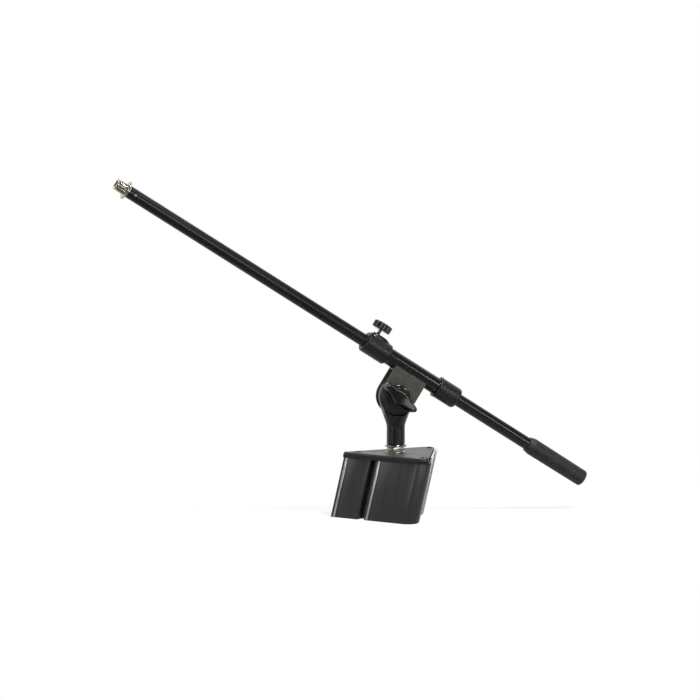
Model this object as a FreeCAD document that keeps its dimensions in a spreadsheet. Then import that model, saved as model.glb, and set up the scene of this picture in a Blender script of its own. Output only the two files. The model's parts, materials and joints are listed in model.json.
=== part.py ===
"""One-piece microphone boom on the head of a leaning triangular column.

Row frame: millimetres, +Z up, origin at the centre of the column's cut lower face.
The boom lies in a plane parallel to XZ; its microphone end points to -X and upwards.

Frames used by the pieces
  column frame  x' towards the way the column leans, turned by lean_bearing about Z
  pivot frame   origin on the tilt axis, axes as the row
  axle frame    origin on the tilt axis, local Z along the row's -Y
  boom frame    origin on the boom's axis above the tilt axis, local X towards the grip,
                local Z square to the boom
"""
import FreeCAD, Part
import math
import os
import re
import Sketcher
from FreeCAD import Placement, Rotation, Vector

DOC = FreeCAD.newDocument("MicrophoneBoom")

SIZES = [
    # column head
    ("column_height", 88, "top of the cap above the cut face"),
    ("column_radius", 81.5, "centre of the section to its sharp corners"),
    ("column_wall", 7, "outer wall, measured before the grooves are taken out"),
    ("column_web", 4, "webs from the centre to the corners"),
    ("lean_angle", 12.4, "column against the vertical, degrees"),
    ("lean_bearing", 22, "lean direction, degrees clockwise from +X"),
    ("spine_round", 1.5, "outside radius of the rear corner"),
    ("corner_round", 14, "outside radius of the two front corners"),
    ("trim_width", 3, "bright edge strips"),
    ("trim_bed", 1.2, "depth of their grooves"),
    ("trim_proud", 0.6, "what they stand out"),
    ("trim_first", 5.5, "first strip, from the sharp rear corner"),
    ("trim_second", 58.5, "second strip, from the sharp rear corner"),
    ("slot_start", 45, "deep slot beside the second strip, from the sharp rear corner"),
    ("slot_width", 11, "deep slot"),
    ("slot_depth", 11, "deep slot"),
    ("slot_lip", 3, "radius of the slot's rear lip"),
    ("slot_wall", 2.5, "wall round the slot, inside the column"),
    ("track_width", 92, "aluminium track on the front face"),
    ("track_bed", 3, "depth of the track's seat"),
    ("track_proud", 0.8, "what the track stands out"),
    ("track_short", 0.4, "end of the track under the top of the plate"),
    ("track_gap", 0.7, "cap and plate behind the track"),
    ("track_slot_width", 54, "channel along the track"),
    ("track_slot_depth", 1.8, "channel along the track"),
    ("cap_height", 5, "moulded cap"),
    ("cap_overhang", 1.5, "cap beyond the column's faces"),
    ("plate_thick", 2.5, "plate on the cap"),
    ("plate_inset", 0.6, "plate inside the cap's edge"),
    ("cap_spine_round", 3, "rear corner of cap and plate"),
    ("cap_front_round", 15.5, "front corners of cap and plate"),
    ("screw_circle", 61, "cap screws from the cap's centre"),
    ("screw_dia", 4.2, "cap screw shank"),
    ("screw_head_dia", 9.4, "cap screw head"),
    ("screw_head_height", 2.1, "cap screw head"),
    ("screw_grip", 9, "cap screw in the column"),
    # stud and neck
    ("stud_dia", 15.88, "five-eighths inch thread, outside diameter"),
    ("stud_offset", 12, "stud behind the cap's centre"),
    ("stud_clearance_dia", 30, "clearance bore in the column under the cap"),
    ("stud_clearance_depth", 24, "clearance bore in the column under the cap"),
    ("stud_below", 18, "stud under the top of the plate"),
    ("stud_engage", 19, "stud inside the neck"),
    ("nut_flats", 21.5, "hexagon body on the plate, across flats"),
    ("nut_height", 6.8, "hexagon body on the plate"),
    ("nut_washer_dia", 25, "washer under the hexagon body"),
    ("nut_washer_thick", 1.2, "washer under the hexagon body"),
    ("back_nut_flats", 22, "nut under the cap"),
    ("back_nut_height", 7, "nut under the cap"),
    ("ring_gap", 0.15, "each side of a lock ring"),
    ("thread_gap", 0.05, "radial running gap on the threads"),
    ("lower_ring_dia", 29, "lock ring under the neck"),
    ("ring_thick", 2.5, "both lock rings"),
    ("neck_length", 65, "foot of the neck to the tilt axis"),
    ("neck_dia", 24.4, "neck tube"),
    ("neck_tube", 25, "straight part of the neck"),
    ("insert_dia", 19.5, "threaded bush in the neck"),
    ("insert_length", 20, "threaded bush in the neck"),
    ("core_dia", 14, "cored space above the bush"),
    ("core_length", 8, "cored space above the bush"),
    ("shoulder_radius", 17, "shoulder under the tongue"),
    ("shoulder_drop", 26.5, "shoulder under the tilt axis"),
    ("shoulder_land", 1.6, "upright edge of the shoulder"),
    ("flare_radius", 38, "hollow of the flare"),
    ("tongue_radius", 23.5, "disc of the tongue"),
    ("tongue_thick", 14, "tongue"),
    ("tongue_foot", 15.2, "half width of the tongue at the shoulder"),
    ("tongue_round", 1.2, "rim of the tongue"),
    # tilt clutch
    ("disc_radius", 19, "friction discs"),
    ("disc_thick", 0.9, "friction discs"),
    ("ear_gap", 16, "between the ears"),
    ("ear_radius", 25, "half width and end radius of the ears"),
    ("sheet_thick", 2, "bracket sheet"),
    ("ear_top", 5, "ears under the boom's axis, before the sleeve is let in"),
    ("axle_drop", 40, "tilt axis under the boom's axis"),
    ("bolt_dia", 8, "pivot bolt"),
    ("bolt_gap", 0.05, "radial running gap on the bolt"),
    ("bolt_head_flats", 13, "pivot bolt head"),
    ("bolt_head_height", 5.3, "pivot bolt head"),
    ("bolt_reach", 22, "bolt towards the knob, from the tilt plane"),
    ("washer_dia", 18, "bolt washer and spring washer"),
    ("washer_thick", 1.2, "bolt washer and spring washer"),
    ("clutch_gap", 0.1, "running gap between clutch faces"),
    ("wing_angle", 42, "knob against the horizontal, degrees"),
    ("wing_reach", 28, "half length of the knob"),
    ("wing_tip_width", 14, "wings at their tips"),
    ("wing_neck_width", 13, "wings beside the hub"),
    ("wing_flange_dia", 32, "knob flange"),
    ("wing_flange_thick", 2.6, "knob flange"),
    ("wing_hub_dia", 21, "knob hub"),
    ("wing_back", 17.6, "back of the wings, from the tilt plane"),
    ("wing_front", 28, "tips of the wings, from the tilt plane"),
    ("wing_dish", 5, "depth of the dish between the tips"),
    ("wing_land", 5, "flat at the tips beside the dish"),
    ("wing_tip_round", 4.5, "corners of the wing tips"),
    ("wing_neck_length", 9, "middle of the knob to where the wings widen"),
    ("hub_crown", 1.5, "hub above the bottom of the dish"),
    ("wing_round", 1.2, "edges of the wings"),
    ("wing_draft", 19, "slope of the wings' sides, degrees"),
    ("wing_insert_dia", 12, "brass nut in the knob"),
    ("wing_insert_end", 22.6, "end of the brass nut, from the tilt plane"),
    # boom clamp
    ("boom_tilt", 32.5, "boom against the horizontal, degrees"),
    ("sleeve_dia", 22.8, "sleeve tube"),
    ("sleeve_wall", 1.5, "sleeve tube"),
    ("sleeve_front", 60, "sleeve towards the microphone"),
    ("sleeve_rear", 62, "sleeve towards the grip"),
    ("collar_dia", 28.5, "front collar"),
    ("collar_bore", 18.2, "both collars"),
    ("front_collar_end", 78, "outer end of the front collar"),
    ("front_collar_root", 40, "inner end of the front collar"),
    ("rear_collar_dia", 28.4, "rear collar"),
    ("rear_rim_dia", 29.4, "rim on the rear collar"),
    ("rear_rim_width", 3, "rim on the rear collar"),
    ("rear_collar_root", 42, "inner end of the rear collar"),
    ("rear_collar_end", 76, "outer end of the rear collar"),
    ("rear_collar_round", 3, "outer edge of the rear collar"),
    ("liner_length", 15, "guide liners"),
    ("liner_gap", 0.05, "radial running gap on the rod"),
    ("boss_place", 66, "thumb screw boss, from the bracket's middle"),
    ("boss_dia", 13, "thumb screw boss"),
    ("boss_top", 17.3, "thumb screw boss above the boom's axis"),
    ("boss_base", 11.6, "foot of the boss, inside the collar's wall"),
    ("boss_round", 1.8, "edge of the boss"),
    ("boss_tail", 18, "ramp behind the boss, from its axis"),
    ("boss_tail_width", 9, "ramp behind the boss"),
    # thumb screw
    ("thumb_dia", 26, "thumb knob"),
    ("thumb_base", 23.4, "thumb knob above the boom's axis"),
    ("thumb_height", 11, "thumb knob"),
    ("thumb_crown", 2.2, "doming of the thumb knob"),
    ("flute_count", 10, "flutes round the thumb knob"),
    ("flute_dia", 5, "flutes"),
    ("flute_circle", 28.6, "circle of the flutes' centres"),
    ("thumb_screw_dia", 5, "thumb screw"),
    ("thumb_screw_low", 9.6, "screw tip above the boom's axis"),
    ("thumb_screw_top", 30, "screw top above the boom's axis"),
    ("shoe_dia", 4.6, "brass shoe under the screw"),
    ("shoe_low", 8.6, "face of the shoe above the boom's axis"),
    # rod
    ("rod_dia", 17, "boom rod"),
    ("rod_wall", 1.5, "boom rod"),
    ("rod_front", 458, "rod towards the microphone"),
    ("rod_rear", 285, "rod towards the grip"),
    ("adapter_end", 478, "end of the microphone thread"),
    ("adapter_plug", 18, "adapter inside the rod"),
    ("adapter_bore", 9.6, "hole in the adapter's end"),
    ("adapter_bore_depth", 14, "hole in the adapter's end"),
    ("thread_relief", 5.3, "plain shank between rod and thread, where the captive ring parks"),
    ("relief_dia", 14.8, "that shank"),
    ("pin_dia", 3, "roll pin through rod and adapter"),
    ("pin_place", 449, "roll pin, from the bracket's middle"),
    ("pin_recess", 0.3, "ends of the pin below the rod's surface"),
    ("upper_ring_dia", 26, "lock ring on the microphone thread"),
    ("upper_ring_place", 460.5, "rear face of that ring"),
    ("grip_start", 195, "nose of the grip"),
    ("grip_end", 291, "end of the grip"),
    ("grip_nose_dia", 20.4, "nose of the grip"),
    ("grip_nose_length", 8, "nose of the grip"),
    ("grip_nose_edge", 0.8, "chamfer of the nose"),
    ("grip_dia", 23.3, "grip behind the nose"),
    ("grip_end_dia", 22.2, "grip at its end"),
    ("grip_lip", 1.6, "edge radius at the grip's end"),
    ("grip_crown", 1.2, "doming of the grip's end"),
    ("weight_start", 240, "steel slug in the rod's end"),
]


def make_sheet():
    """The driving dimensions, one to a row, each with its alias."""
    sheet = DOC.addObject("Spreadsheet::Sheet", "Sizes")
    for row, (alias, size, note) in enumerate(SIZES, start=1):
        sheet.set("A%d" % row, note)
        sheet.set("B%d" % row, str(size))
        sheet.setAlias("B%d" % row, alias)
    DOC.recompute()
    return sheet


SHEET = make_sheet()


def full(formula):
    """Names with an underscore are cells of the sheet."""
    return re.sub(r"\b([a-z]+(?:_[a-z]+)+)\b", r"Sizes.\1", str(formula))


def number(formula):
    return float(SHEET.evalExpression(full(formula)))


def bind(obj, prop, formula):
    obj.setExpression(prop, full(formula))


# Formulas that several pieces share.
LEAN_RUN = "tan(lean_angle)"
COLUMN_TOP = "(column_height - plate_thick - cap_height)"
CAP_X = "((column_height - plate_thick - cap_height / 2) * %s)" % LEAN_RUN
STUD_X = "(column_height * %s - stud_offset)" % LEAN_RUN
SIDE = "(column_radius * 2 * cos(30))"
NECK_FOOT = "(column_height + nut_washer_thick + nut_height + ring_thick + 2 * ring_gap)"
PIVOT = (
    "(%s * cos(lean_bearing))" % STUD_X,
    "(-%s * sin(lean_bearing))" % STUD_X,
    "(%s + neck_length)" % NECK_FOOT,
)
THREAD_BORE = "(stud_dia / 2 + thread_gap)"


def place(obj, base, axis=None, angle="0"):
    """Placement bound to formulas; angle is in degrees about axis."""
    turn = Rotation(axis, number(angle)) if axis else Rotation()
    obj.Placement = Placement(Vector(*[number(part) for part in base]), turn)
    for letter, part in zip("xyz", base):
        bind(obj, "Placement.Base." + letter, part)
    if axis:
        bind(obj, "Placement.Rotation.Angle", angle)


def in_column_frame(obj):
    place(obj, ("0", "0", "0"), Vector(0, 0, -1), "lean_bearing")


def on_stud(obj):
    place(obj, (PIVOT[0], PIVOT[1], "0"))


def on_pivot(obj):
    place(obj, PIVOT)


def on_axle(obj):
    place(obj, PIVOT, Vector(1, 0, 0), "90")


def on_boom(obj, along="0"):
    """Boom frame, its origin moved along the boom towards the grip."""
    x = "%s + axle_drop * sin(boom_tilt) + (%s) * cos(boom_tilt)" % (PIVOT[0], along)
    z = "%s + axle_drop * cos(boom_tilt) - (%s) * sin(boom_tilt)" % (PIVOT[2], along)
    place(obj, (x, PIVOT[1], z), Vector(0, 1, 0), "boom_tilt")


def new_body(label):
    body = DOC.addObject("PartDesign::Body", label)
    body.Label = label
    body.AllowCompound = True
    return body


def new_sketch(body, name, plane, offset="0"):
    """Sketch on one of the body's origin planes, offset along that plane's normal."""
    sketch = body.newObject("Sketcher::SketchObject", body.Label + "_" + name)
    support = next(item for item in body.Origin.OriginFeatures if item.Role == plane)
    sketch.AttachmentSupport = [(support, "")]
    sketch.MapMode = "FlatFace"
    sketch.AttachmentOffset = Placement(Vector(0, 0, number(offset)), Rotation())
    bind(sketch, "AttachmentOffset.Base.z", offset)
    return sketch


def pin_point(sketch, edge, end, x, y):
    """Fixes one end of an edge at the place that two formulas give."""
    for kind, formula in (("DistanceX", x), ("DistanceY", y)):
        rule = Sketcher.Constraint(kind, -1, 1, edge, end, number(formula))
        index = sketch.addConstraint(rule)
        bind(sketch, "Constraints[%d]" % index, formula)


def arc_middle(first, last, radius):
    """Middle of the short arc between two points; a positive radius bulges to the right."""
    chord = last - first
    right = Vector(chord.y, -chord.x, 0).normalize()
    rise = abs(radius) - math.sqrt(radius ** 2 - (chord.Length / 2) ** 2)
    return (first + last) * 0.5 + right * math.copysign(rise, radius)


def draw(sketch, corners):
    """Closed outline, anticlockwise. A corner is x and y formulas, and a third formula makes
    the edge from it to the next corner an arc: positive bulges outwards, negative inwards."""
    points = [Vector(number(corner[0]), number(corner[1]), 0) for corner in corners]
    starts = []
    for index, corner in enumerate(corners):
        first = points[index]
        last = points[(index + 1) % len(corners)]
        if len(corner) == 2:
            edge = sketch.addGeometry(Part.LineSegment(first, last), False)
            starts.append((edge, 1))
            continue
        radius = number(corner[2])
        middle = arc_middle(first, last, radius)
        ends = (first, middle, last) if radius > 0 else (last, middle, first)
        edge = sketch.addGeometry(Part.Arc(*ends), False)
        starts.append((edge, 1 if radius > 0 else 2))
        rule = sketch.addConstraint(Sketcher.Constraint("Radius", edge, abs(radius)))
        bind(sketch, "Constraints[%d]" % rule, "abs(%s)" % corner[2])
    for index, (edge, end) in enumerate(starts):
        before, before_start = starts[index - 1]
        sketch.addConstraint(Sketcher.Constraint("Coincident", before, 3 - before_start, edge, end))
        pin_point(sketch, edge, end, corners[index][0], corners[index][1])


def draw_circle(sketch, x, y, diameter):
    centre = Vector(number(x), number(y), 0)
    edge = sketch.addGeometry(Part.Circle(centre, Vector(0, 0, 1), number(diameter) / 2), False)
    pin_point(sketch, edge, 3, x, y)
    rule = sketch.addConstraint(Sketcher.Constraint("Diameter", edge, number(diameter)))
    bind(sketch, "Constraints[%d]" % rule, diameter)


def pad(body, sketch, length, midplane=False, along=None):
    """Raises a sketch along its normal, or slanted along a vector at the same height."""
    feature = body.newObject("PartDesign::Pad", sketch.Label + "_pad")
    feature.Profile = sketch
    bind(feature, "Length", length)
    feature.Midplane = midplane
    if along:
        feature.UseCustomVector = True
        feature.Direction = along
        feature.AlongSketchNormal = True
    return feature


def pocket(body, sketch, length, midplane=False):
    """Cuts against the sketch's normal, or to both sides, and makes sure that it cut."""
    DOC.recompute()
    before = body.Shape.Volume
    feature = body.newObject("PartDesign::Pocket", sketch.Label + "_pocket")
    feature.Profile = sketch
    bind(feature, "Length", length)
    feature.Midplane = midplane
    DOC.recompute()
    if body.Shape.Volume > before - 0.5:
        raise RuntimeError(sketch.Label + " cut nothing")
    return feature


def spin(body, name, plane, axis, corners):
    """Adds an outline spun all the way round one of its sketch's axes."""
    sketch = new_sketch(body, name, plane)
    draw(sketch, corners)
    feature = body.newObject("PartDesign::Revolution", "%s_%s_turned" % (body.Label, name))
    feature.Profile = sketch
    feature.ReferenceAxis = (sketch, [axis])
    feature.Angle = 360
    return feature


def turned(label, corners, axis="V_Axis"):
    """A lathe-turned body: the outline in the XZ plane, spun about a sketch axis."""
    body = new_body(label)
    spin(body, "profile", "XZ_Plane", axis, corners)
    return body


def ring_profile(inner, outer, low, high, edge="0.3"):
    """Section of a flat ring with its two outer edges broken."""
    return [
        (inner, low),
        ("%s - %s" % (outer, edge), low),
        (outer, "%s + %s" % (low, edge)),
        (outer, "%s - %s" % (high, edge)),
        ("%s - %s" % (outer, edge), high),
        (inner, high),
    ]


def lying(corners):
    """The same section for a ring whose axis is the boom's, still anticlockwise."""
    return [(corner[1], corner[0]) for corner in reversed(corners)]


def round_edges(body, radius, keep):
    """Fillets the edges of the body's present shape that keep(edge) picks."""
    DOC.recompute()
    base = body.Tip
    names = ["Edge%d" % (i + 1) for i, edge in enumerate(base.Shape.Edges) if keep(edge)]
    if not names:
        raise RuntimeError(body.Label + " has no such edge")
    feature = body.newObject("PartDesign::Fillet", body.Label + "_round")
    feature.Base = (base, names)
    bind(feature, "Radius", radius)
    DOC.recompute()
    return feature


# Column head -------------------------------------------------------------------------------
def face_point(along, depth, side):
    """On a rear face: along it from the sharp spine corner, and depth under its surface."""
    x = "-column_radius + (%s) * cos(30) + (%s) * sin(30)" % (along, depth)
    y = "%d * ((%s) * sin(30) - (%s) * cos(30))" % (side, along, depth)
    return x, y


def strip_bed(start, side):
    """Corners of the groove for one bright strip."""
    end = "%s + trim_width" % start
    return [
        face_point(start, "0", side),
        face_point(start, "trim_bed", side),
        face_point(end, "trim_bed", side),
        face_point(end, "0", side),
    ]


def slot_corners(side):
    """The deep slot, with a rounded lip on its spine side."""
    end = "slot_start + slot_width"
    lip = [
        face_point("slot_start - slot_lip", "0", side),
        face_point("slot_start", "slot_lip", side),
    ]
    first = 0 if side < 0 else 1
    lip[first] = lip[first] + ("slot_lip",)
    floor = [face_point("slot_start", "slot_depth", side), face_point(end, "slot_depth", side)]
    return lip + floor + [face_point(end, "0", side)]


def rear_face(side):
    """Corners along one rear face, from the spine's round to the front corner's."""
    corners = [face_point("spine_round / tan(30)", "0", side)]
    corners += strip_bed("trim_first", side)
    corners += slot_corners(side)
    corners += strip_bed("trim_second", side)
    corners.append(face_point("%s - corner_round / tan(30)" % SIDE, "0", side))
    return corners


def column_outline():
    """Outer section: spine at -x', track seat at +x'."""
    front = "column_radius / 2"
    seat = "column_radius / 2 - track_bed"
    reach = "(%s / 2 - corner_round / tan(30))" % SIDE
    right = rear_face(-1)
    left = rear_face(1)
    right[-1] = right[-1] + ("corner_round",)
    middle = [
        (front, "-" + reach),
        (front, "-track_width / 2"),
        (seat, "-track_width / 2"),
        (seat, "track_width / 2"),
        (front, "track_width / 2"),
        (front, reach, "corner_round"),
    ]
    left.reverse()
    left[-1] = left[-1] + ("spine_round",)
    return right + middle + left


def turned_point(x, y, angle):
    return (
        "(%s) * cos(%d) - (%s) * sin(%d)" % (x, angle, y, angle),
        "(%s) * sin(%d) + (%s) * cos(%d)" % (x, angle, y, angle),
    )


CELL_WALL = "(column_radius / 2 - column_wall)"


def cell_half(reach):
    """Half width of a hollow cell at a distance from the column's centre."""
    return "((%s) * tan(60) - column_web / 2 / cos(60))" % reach


def front_cell():
    """Hollow behind the front face, cut off short of the rounded corners."""
    half = "(%s / 2 - corner_round / tan(30))" % SIDE
    shoulder = "((%s + column_web / 2 / cos(60)) / tan(60))" % half
    return [
        ("column_web / 2 / sin(60)", "0"),
        (shoulder, "-" + half),
        (CELL_WALL, "-" + half),
        (CELL_WALL, half),
        (shoulder, half),
    ]


def rear_cell(side):
    """Hollow behind a rear face, with a step inwards round the deep slot."""
    angle = 120 * side
    half = cell_half(CELL_WALL)
    front = "(%s / 2 - corner_round / tan(30))" % SIDE
    shoulder = "((%s + column_web / 2 / cos(60)) / tan(60))" % front
    floor = "(column_radius / 2 - slot_depth - slot_wall)"
    near = "(%s / 2 - slot_start + slot_wall)" % SIDE
    far = "(%s / 2 - slot_start - slot_width - slot_wall)" % SIDE
    corners = [
        ("column_web / 2 / sin(60)", "0"),
        (shoulder, "-" + front),
        (CELL_WALL, "-" + front),
        (CELL_WALL, far),
        (floor, far),
        (floor, near),
        (CELL_WALL, near),
        (CELL_WALL, half),
    ]
    if side < 0:
        corners = [(x, "-(%s)" % y) for x, y in reversed(corners)]
    return [turned_point(x, y, angle) for x, y in corners]


def lean_vector():
    lean = math.radians(number("lean_angle"))
    return Vector(math.sin(lean), 0, math.cos(lean))


CORNER_ANGLES = (180, 300, 60)


def screw_places():
    """Formulas for the cap screws, in the column frame."""
    places = []
    for angle in CORNER_ANGLES:
        x = "%s + screw_circle * cos(%d)" % (CAP_X, angle)
        y = "screw_circle * sin(%d)" % angle
        places.append((x, y))
    return places


def column_extrusion():
    body = new_body("column_extrusion")
    section = new_sketch(body, "section", "XY_Plane")
    draw(section, column_outline())
    for cell in (front_cell(), rear_cell(1), rear_cell(-1)):
        draw(section, cell)
    pad(body, section, COLUMN_TOP, along=lean_vector())
    bore = new_sketch(body, "stud_clearance", "XY_Plane", COLUMN_TOP)
    draw_circle(bore, STUD_X, "0", "stud_clearance_dia")
    pocket(body, bore, "stud_clearance_depth")
    holes = new_sketch(body, "screw_holes", "XY_Plane", COLUMN_TOP)
    for x, y in screw_places():
        draw_circle(holes, x, y, "screw_dia")
    pocket(body, holes, "screw_grip + 1")
    in_column_frame(body)
    return body


def strip_outline(start, side):
    """Section of one bright strip, seated in its groove; anticlockwise on either face."""
    end = "%s + trim_width" % start
    corners = [
        face_point(start, "trim_bed", side),
        face_point(start, "-trim_proud", side),
        face_point(end, "-trim_proud", side),
        face_point(end, "trim_bed", side),
    ]
    return corners if side < 0 else corners[::-1]


def edge_trims(label, side):
    body = new_body(label)
    section = new_sketch(body, "section", "XY_Plane")
    draw(section, strip_outline("trim_first", side))
    draw(section, strip_outline("trim_second", side))
    pad(body, section, COLUMN_TOP, along=lean_vector())
    in_column_frame(body)
    return body


def front_track():
    """Flat aluminium track with a shallow channel down its middle; it runs up past the cap."""
    body = new_body("front_track")
    seat = "column_radius / 2 - track_bed"
    face = "column_radius / 2 + track_proud"
    floor = face + " - track_slot_depth"
    section = new_sketch(body, "section", "XY_Plane")
    draw(section, [
        (seat, "-track_width / 2"),
        (face, "-track_width / 2"),
        (face, "-track_slot_width / 2"),
        (floor, "-track_slot_width / 2"),
        (floor, "track_slot_width / 2"),
        (face, "track_slot_width / 2"),
        (face, "track_width / 2"),
        (seat, "track_width / 2"),
    ])
    pad(body, section, "column_height - track_short", along=lean_vector())
    in_column_frame(body)
    return body


def rounded_triangle(growth):
    """Triangle about the cap's centre, growth beyond the column's faces."""
    radius = "(column_radius + (%s) / sin(30))" % growth
    corners = []
    for angle in CORNER_ANGLES:
        corner_round = "cap_spine_round" if angle == 180 else "cap_front_round"
        setback = "(%s / tan(30))" % corner_round
        for sign in (-1, 1):
            x = "(%s) - %s * cos(30)" % (radius, setback)
            y = "%d * %s * sin(30)" % (sign, setback)
            spun = turned_point(x, y, angle)
            point = ("%s + %s" % (CAP_X, spun[0]), spun[1])
            corners.append(point + (corner_round,) if sign < 0 else point)
    return corners


def cut_behind_track(body, low, height):
    """Takes the front of the cap or plate away, so that the leaning track can pass it."""
    edge = "%s + column_radius / 2 - track_bed - track_gap" % CAP_X
    room = new_sketch(body, "track_room", "XY_Plane", "%s + %s" % (low, height))
    draw(room, [
        (edge, "-column_radius"),
        ("%s + column_radius" % CAP_X, "-column_radius"),
        ("%s + column_radius" % CAP_X, "column_radius"),
        (edge, "column_radius"),
    ])
    pocket(body, room, "%s + 1" % height)


def column_cap():
    body = new_body("column_cap")
    shape = new_sketch(body, "outline", "XY_Plane", COLUMN_TOP)
    draw(shape, rounded_triangle("cap_overhang"))
    draw_circle(shape, STUD_X, "0", "stud_dia")
    for x, y in screw_places():
        draw_circle(shape, x, y, "screw_dia")
    pad(body, shape, "cap_height")
    cut_behind_track(body, COLUMN_TOP, "cap_height")
    top = number(COLUMN_TOP + " + cap_height")
    round_edges(body, "plate_inset", lambda edge: outer_rim(edge, top))
    in_column_frame(body)
    return body


def cap_plate():
    body = new_body("cap_plate")
    shape = new_sketch(body, "outline", "XY_Plane", COLUMN_TOP + " + cap_height")
    draw(shape, rounded_triangle("cap_overhang - plate_inset"))
    draw_circle(shape, STUD_X, "0", "stud_dia")
    for x, y in screw_places():
        draw_circle(shape, x, y, "screw_head_dia + 0.4")
    pad(body, shape, "plate_thick")
    cut_behind_track(body, COLUMN_TOP + " + cap_height", "plate_thick")
    top = number("column_height")
    round_edges(body, "plate_inset", lambda edge: outer_rim(edge, top))
    in_column_frame(body)
    return body


def outer_rim(edge, height):
    """Edges of the cap or plate's outline at a height, and not those of its holes."""
    box = edge.BoundBox
    level = abs(box.ZMin - height) < 0.01 and abs(box.ZMax - height) < 0.01
    hole = isinstance(edge.Curve, Part.Circle) and edge.isClosed()
    return level and not hole


def cap_screws():
    """Three button-head screws, one in each corner of the cap."""
    screws = []
    for index, (x, y) in enumerate(screw_places(), start=1):
        shank = DOC.addObject("Part::Cylinder", "screw_shank_%d" % index)
        bind(shank, "Radius", "screw_dia / 2")
        bind(shank, "Height", "screw_grip + cap_height + 0.5")
        place(shank, (x, y, COLUMN_TOP + " - screw_grip"))
        head = DOC.addObject("Part::Cone", "screw_head_%d" % index)
        bind(head, "Radius1", "screw_head_dia / 2")
        bind(head, "Radius2", "screw_head_dia / 3")
        bind(head, "Height", "screw_head_height")
        place(head, (x, y, COLUMN_TOP + " + cap_height"))
        screw = DOC.addObject("Part::Fuse", "cap_screw_%d" % index)
        screw.Base = shank
        screw.Tool = head
        screws.append(screw)
    group = DOC.addObject("Part::Compound", "cap_screws")
    group.Label = "cap_screws"
    group.Links = screws
    in_column_frame(group)
    return group


def hexagon(flats):
    """Corners of a hexagon about the sketch's origin, two flats facing its y axis."""
    corner = "(%s) / 2 / cos(30)" % flats
    return [("%s * cos(%d)" % (corner, a), "%s * sin(%d)" % (corner, a)) for a in range(0, 360, 60)]


def hex_nut(label, flats, low, height):
    """Hexagon on the stud, its outer corners turned off to a cone at both ends."""
    body = new_body(label)
    shape = new_sketch(body, "hexagon", "XY_Plane", low)
    draw(shape, hexagon(flats))
    draw_circle(shape, "0", "0", "stud_dia")
    pad(body, shape, height)
    corner = "(%s / 2 / cos(30))" % flats
    for name, end, way in (("lower", low, 1), ("upper", "(%s + %s)" % (low, height), -1)):
        cone = new_sketch(body, name + "_cone", "XZ_Plane")
        draw(cone, cone_corner(corner, flats, end, way))
        DOC.recompute()
        cut = body.newObject("PartDesign::Groove", label + "_" + name)
        cut.Profile = cone
        cut.ReferenceAxis = (cone, ["V_Axis"])
        cut.Angle = 360
    on_stud(body)
    return body


def cone_corner(corner, flats, end, way):
    """Triangle that takes the sharp corners off one end of a hexagon."""
    inner = ("%s / 2 * 0.98" % flats, end)
    outer = ("%s + 0.5" % corner, end)
    deep = ("%s + 0.5" % corner, "%s + %d * 1.1" % (end, way))
    return [inner, outer, deep] if way > 0 else [inner, deep, outer]


def threaded_stud():
    top = NECK_FOOT + " + stud_engage"
    body = turned("threaded_stud", [
        ("0", "column_height - stud_below"),
        ("stud_dia / 2 - 1", "column_height - stud_below"),
        ("stud_dia / 2", "column_height - stud_below + 1"),
        ("stud_dia / 2", top + " - 1"),
        ("stud_dia / 2 - 1", top),
        ("0", top),
    ])
    on_stud(body)
    return body


def stud_washer():
    top = "column_height + nut_washer_thick"
    body = turned("stud_washer", ring_profile("stud_dia / 2", "nut_washer_dia / 2", "column_height", top))
    on_stud(body)
    return body


def lower_lock_ring():
    low = NECK_FOOT + " - ring_gap - ring_thick"
    high = NECK_FOOT + " - ring_gap"
    body = turned("lower_lock_ring", ring_profile(THREAD_BORE, "lower_ring_dia / 2", low, high, "0.5"))
    on_stud(body)
    return body


# Swivel casting ------------------------------------------------------------------------------
def swivel_casting():
    """Flat tongue with rounded rims, then neck tube, flare and shoulder turned as one."""
    body = new_body("swivel_casting")
    tongue = new_sketch(body, "tongue", "XZ_Plane")
    draw(tongue, [
        ("-tongue_foot + 3", "-shoulder_drop - 4"),
        ("tongue_foot - 3", "-shoulder_drop - 4"),
        ("tongue_foot", "-shoulder_drop"),
        ("tongue_radius * cos(20)", "-tongue_radius * sin(20)", "tongue_radius"),
        ("0", "tongue_radius", "tongue_radius"),
        ("-tongue_radius * cos(20)", "-tongue_radius * sin(20)"),
        ("-tongue_foot", "-shoulder_drop"),
    ])
    pad(body, tongue, "tongue_thick", midplane=True)
    round_edges(body, "tongue_round", is_rim)
    bush = "-neck_length + insert_length"
    core = bush + " + core_length"
    spin(body, "neck", "XZ_Plane", "V_Axis", [
        ("insert_dia / 2", "-neck_length"),
        ("neck_dia / 2 - 0.8", "-neck_length"),
        ("neck_dia / 2", "-neck_length + 0.8"),
        ("neck_dia / 2", "-neck_length + neck_tube", "-flare_radius"),
        ("shoulder_radius", "-shoulder_drop - shoulder_land"),
        ("shoulder_radius", "-shoulder_drop"),
        ("0", "-shoulder_drop"),
        ("0", core),
        ("core_dia / 2", core),
        ("core_dia / 2", bush),
        ("insert_dia / 2", bush),
    ])
    bore = new_sketch(body, "pivot_bore", "XZ_Plane")
    draw_circle(bore, "0", "0", "bolt_dia + 2 * bolt_gap")
    pocket(body, bore, "tongue_thick + 2", midplane=True)
    on_pivot(body)
    return body


def is_rim(edge):
    """Edges that lie in one of the two flat faces of a plate in the XZ plane."""
    return edge.BoundBox.YLength < 0.01


def thread_insert():
    body = turned("thread_insert", [
        (THREAD_BORE, "-neck_length"),
        ("insert_dia / 2", "-neck_length"),
        ("insert_dia / 2", "-neck_length + insert_length"),
        (THREAD_BORE, "-neck_length + insert_length"),
    ])
    on_pivot(body)
    return body


# Tilt clutch, in the axle frame ------------------------------------------------------------
def axle_ring(label, inner, outer, near, far):
    body = turned(label, ring_profile(inner, outer, near, far, "0.2"))
    on_axle(body)
    return body


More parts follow.
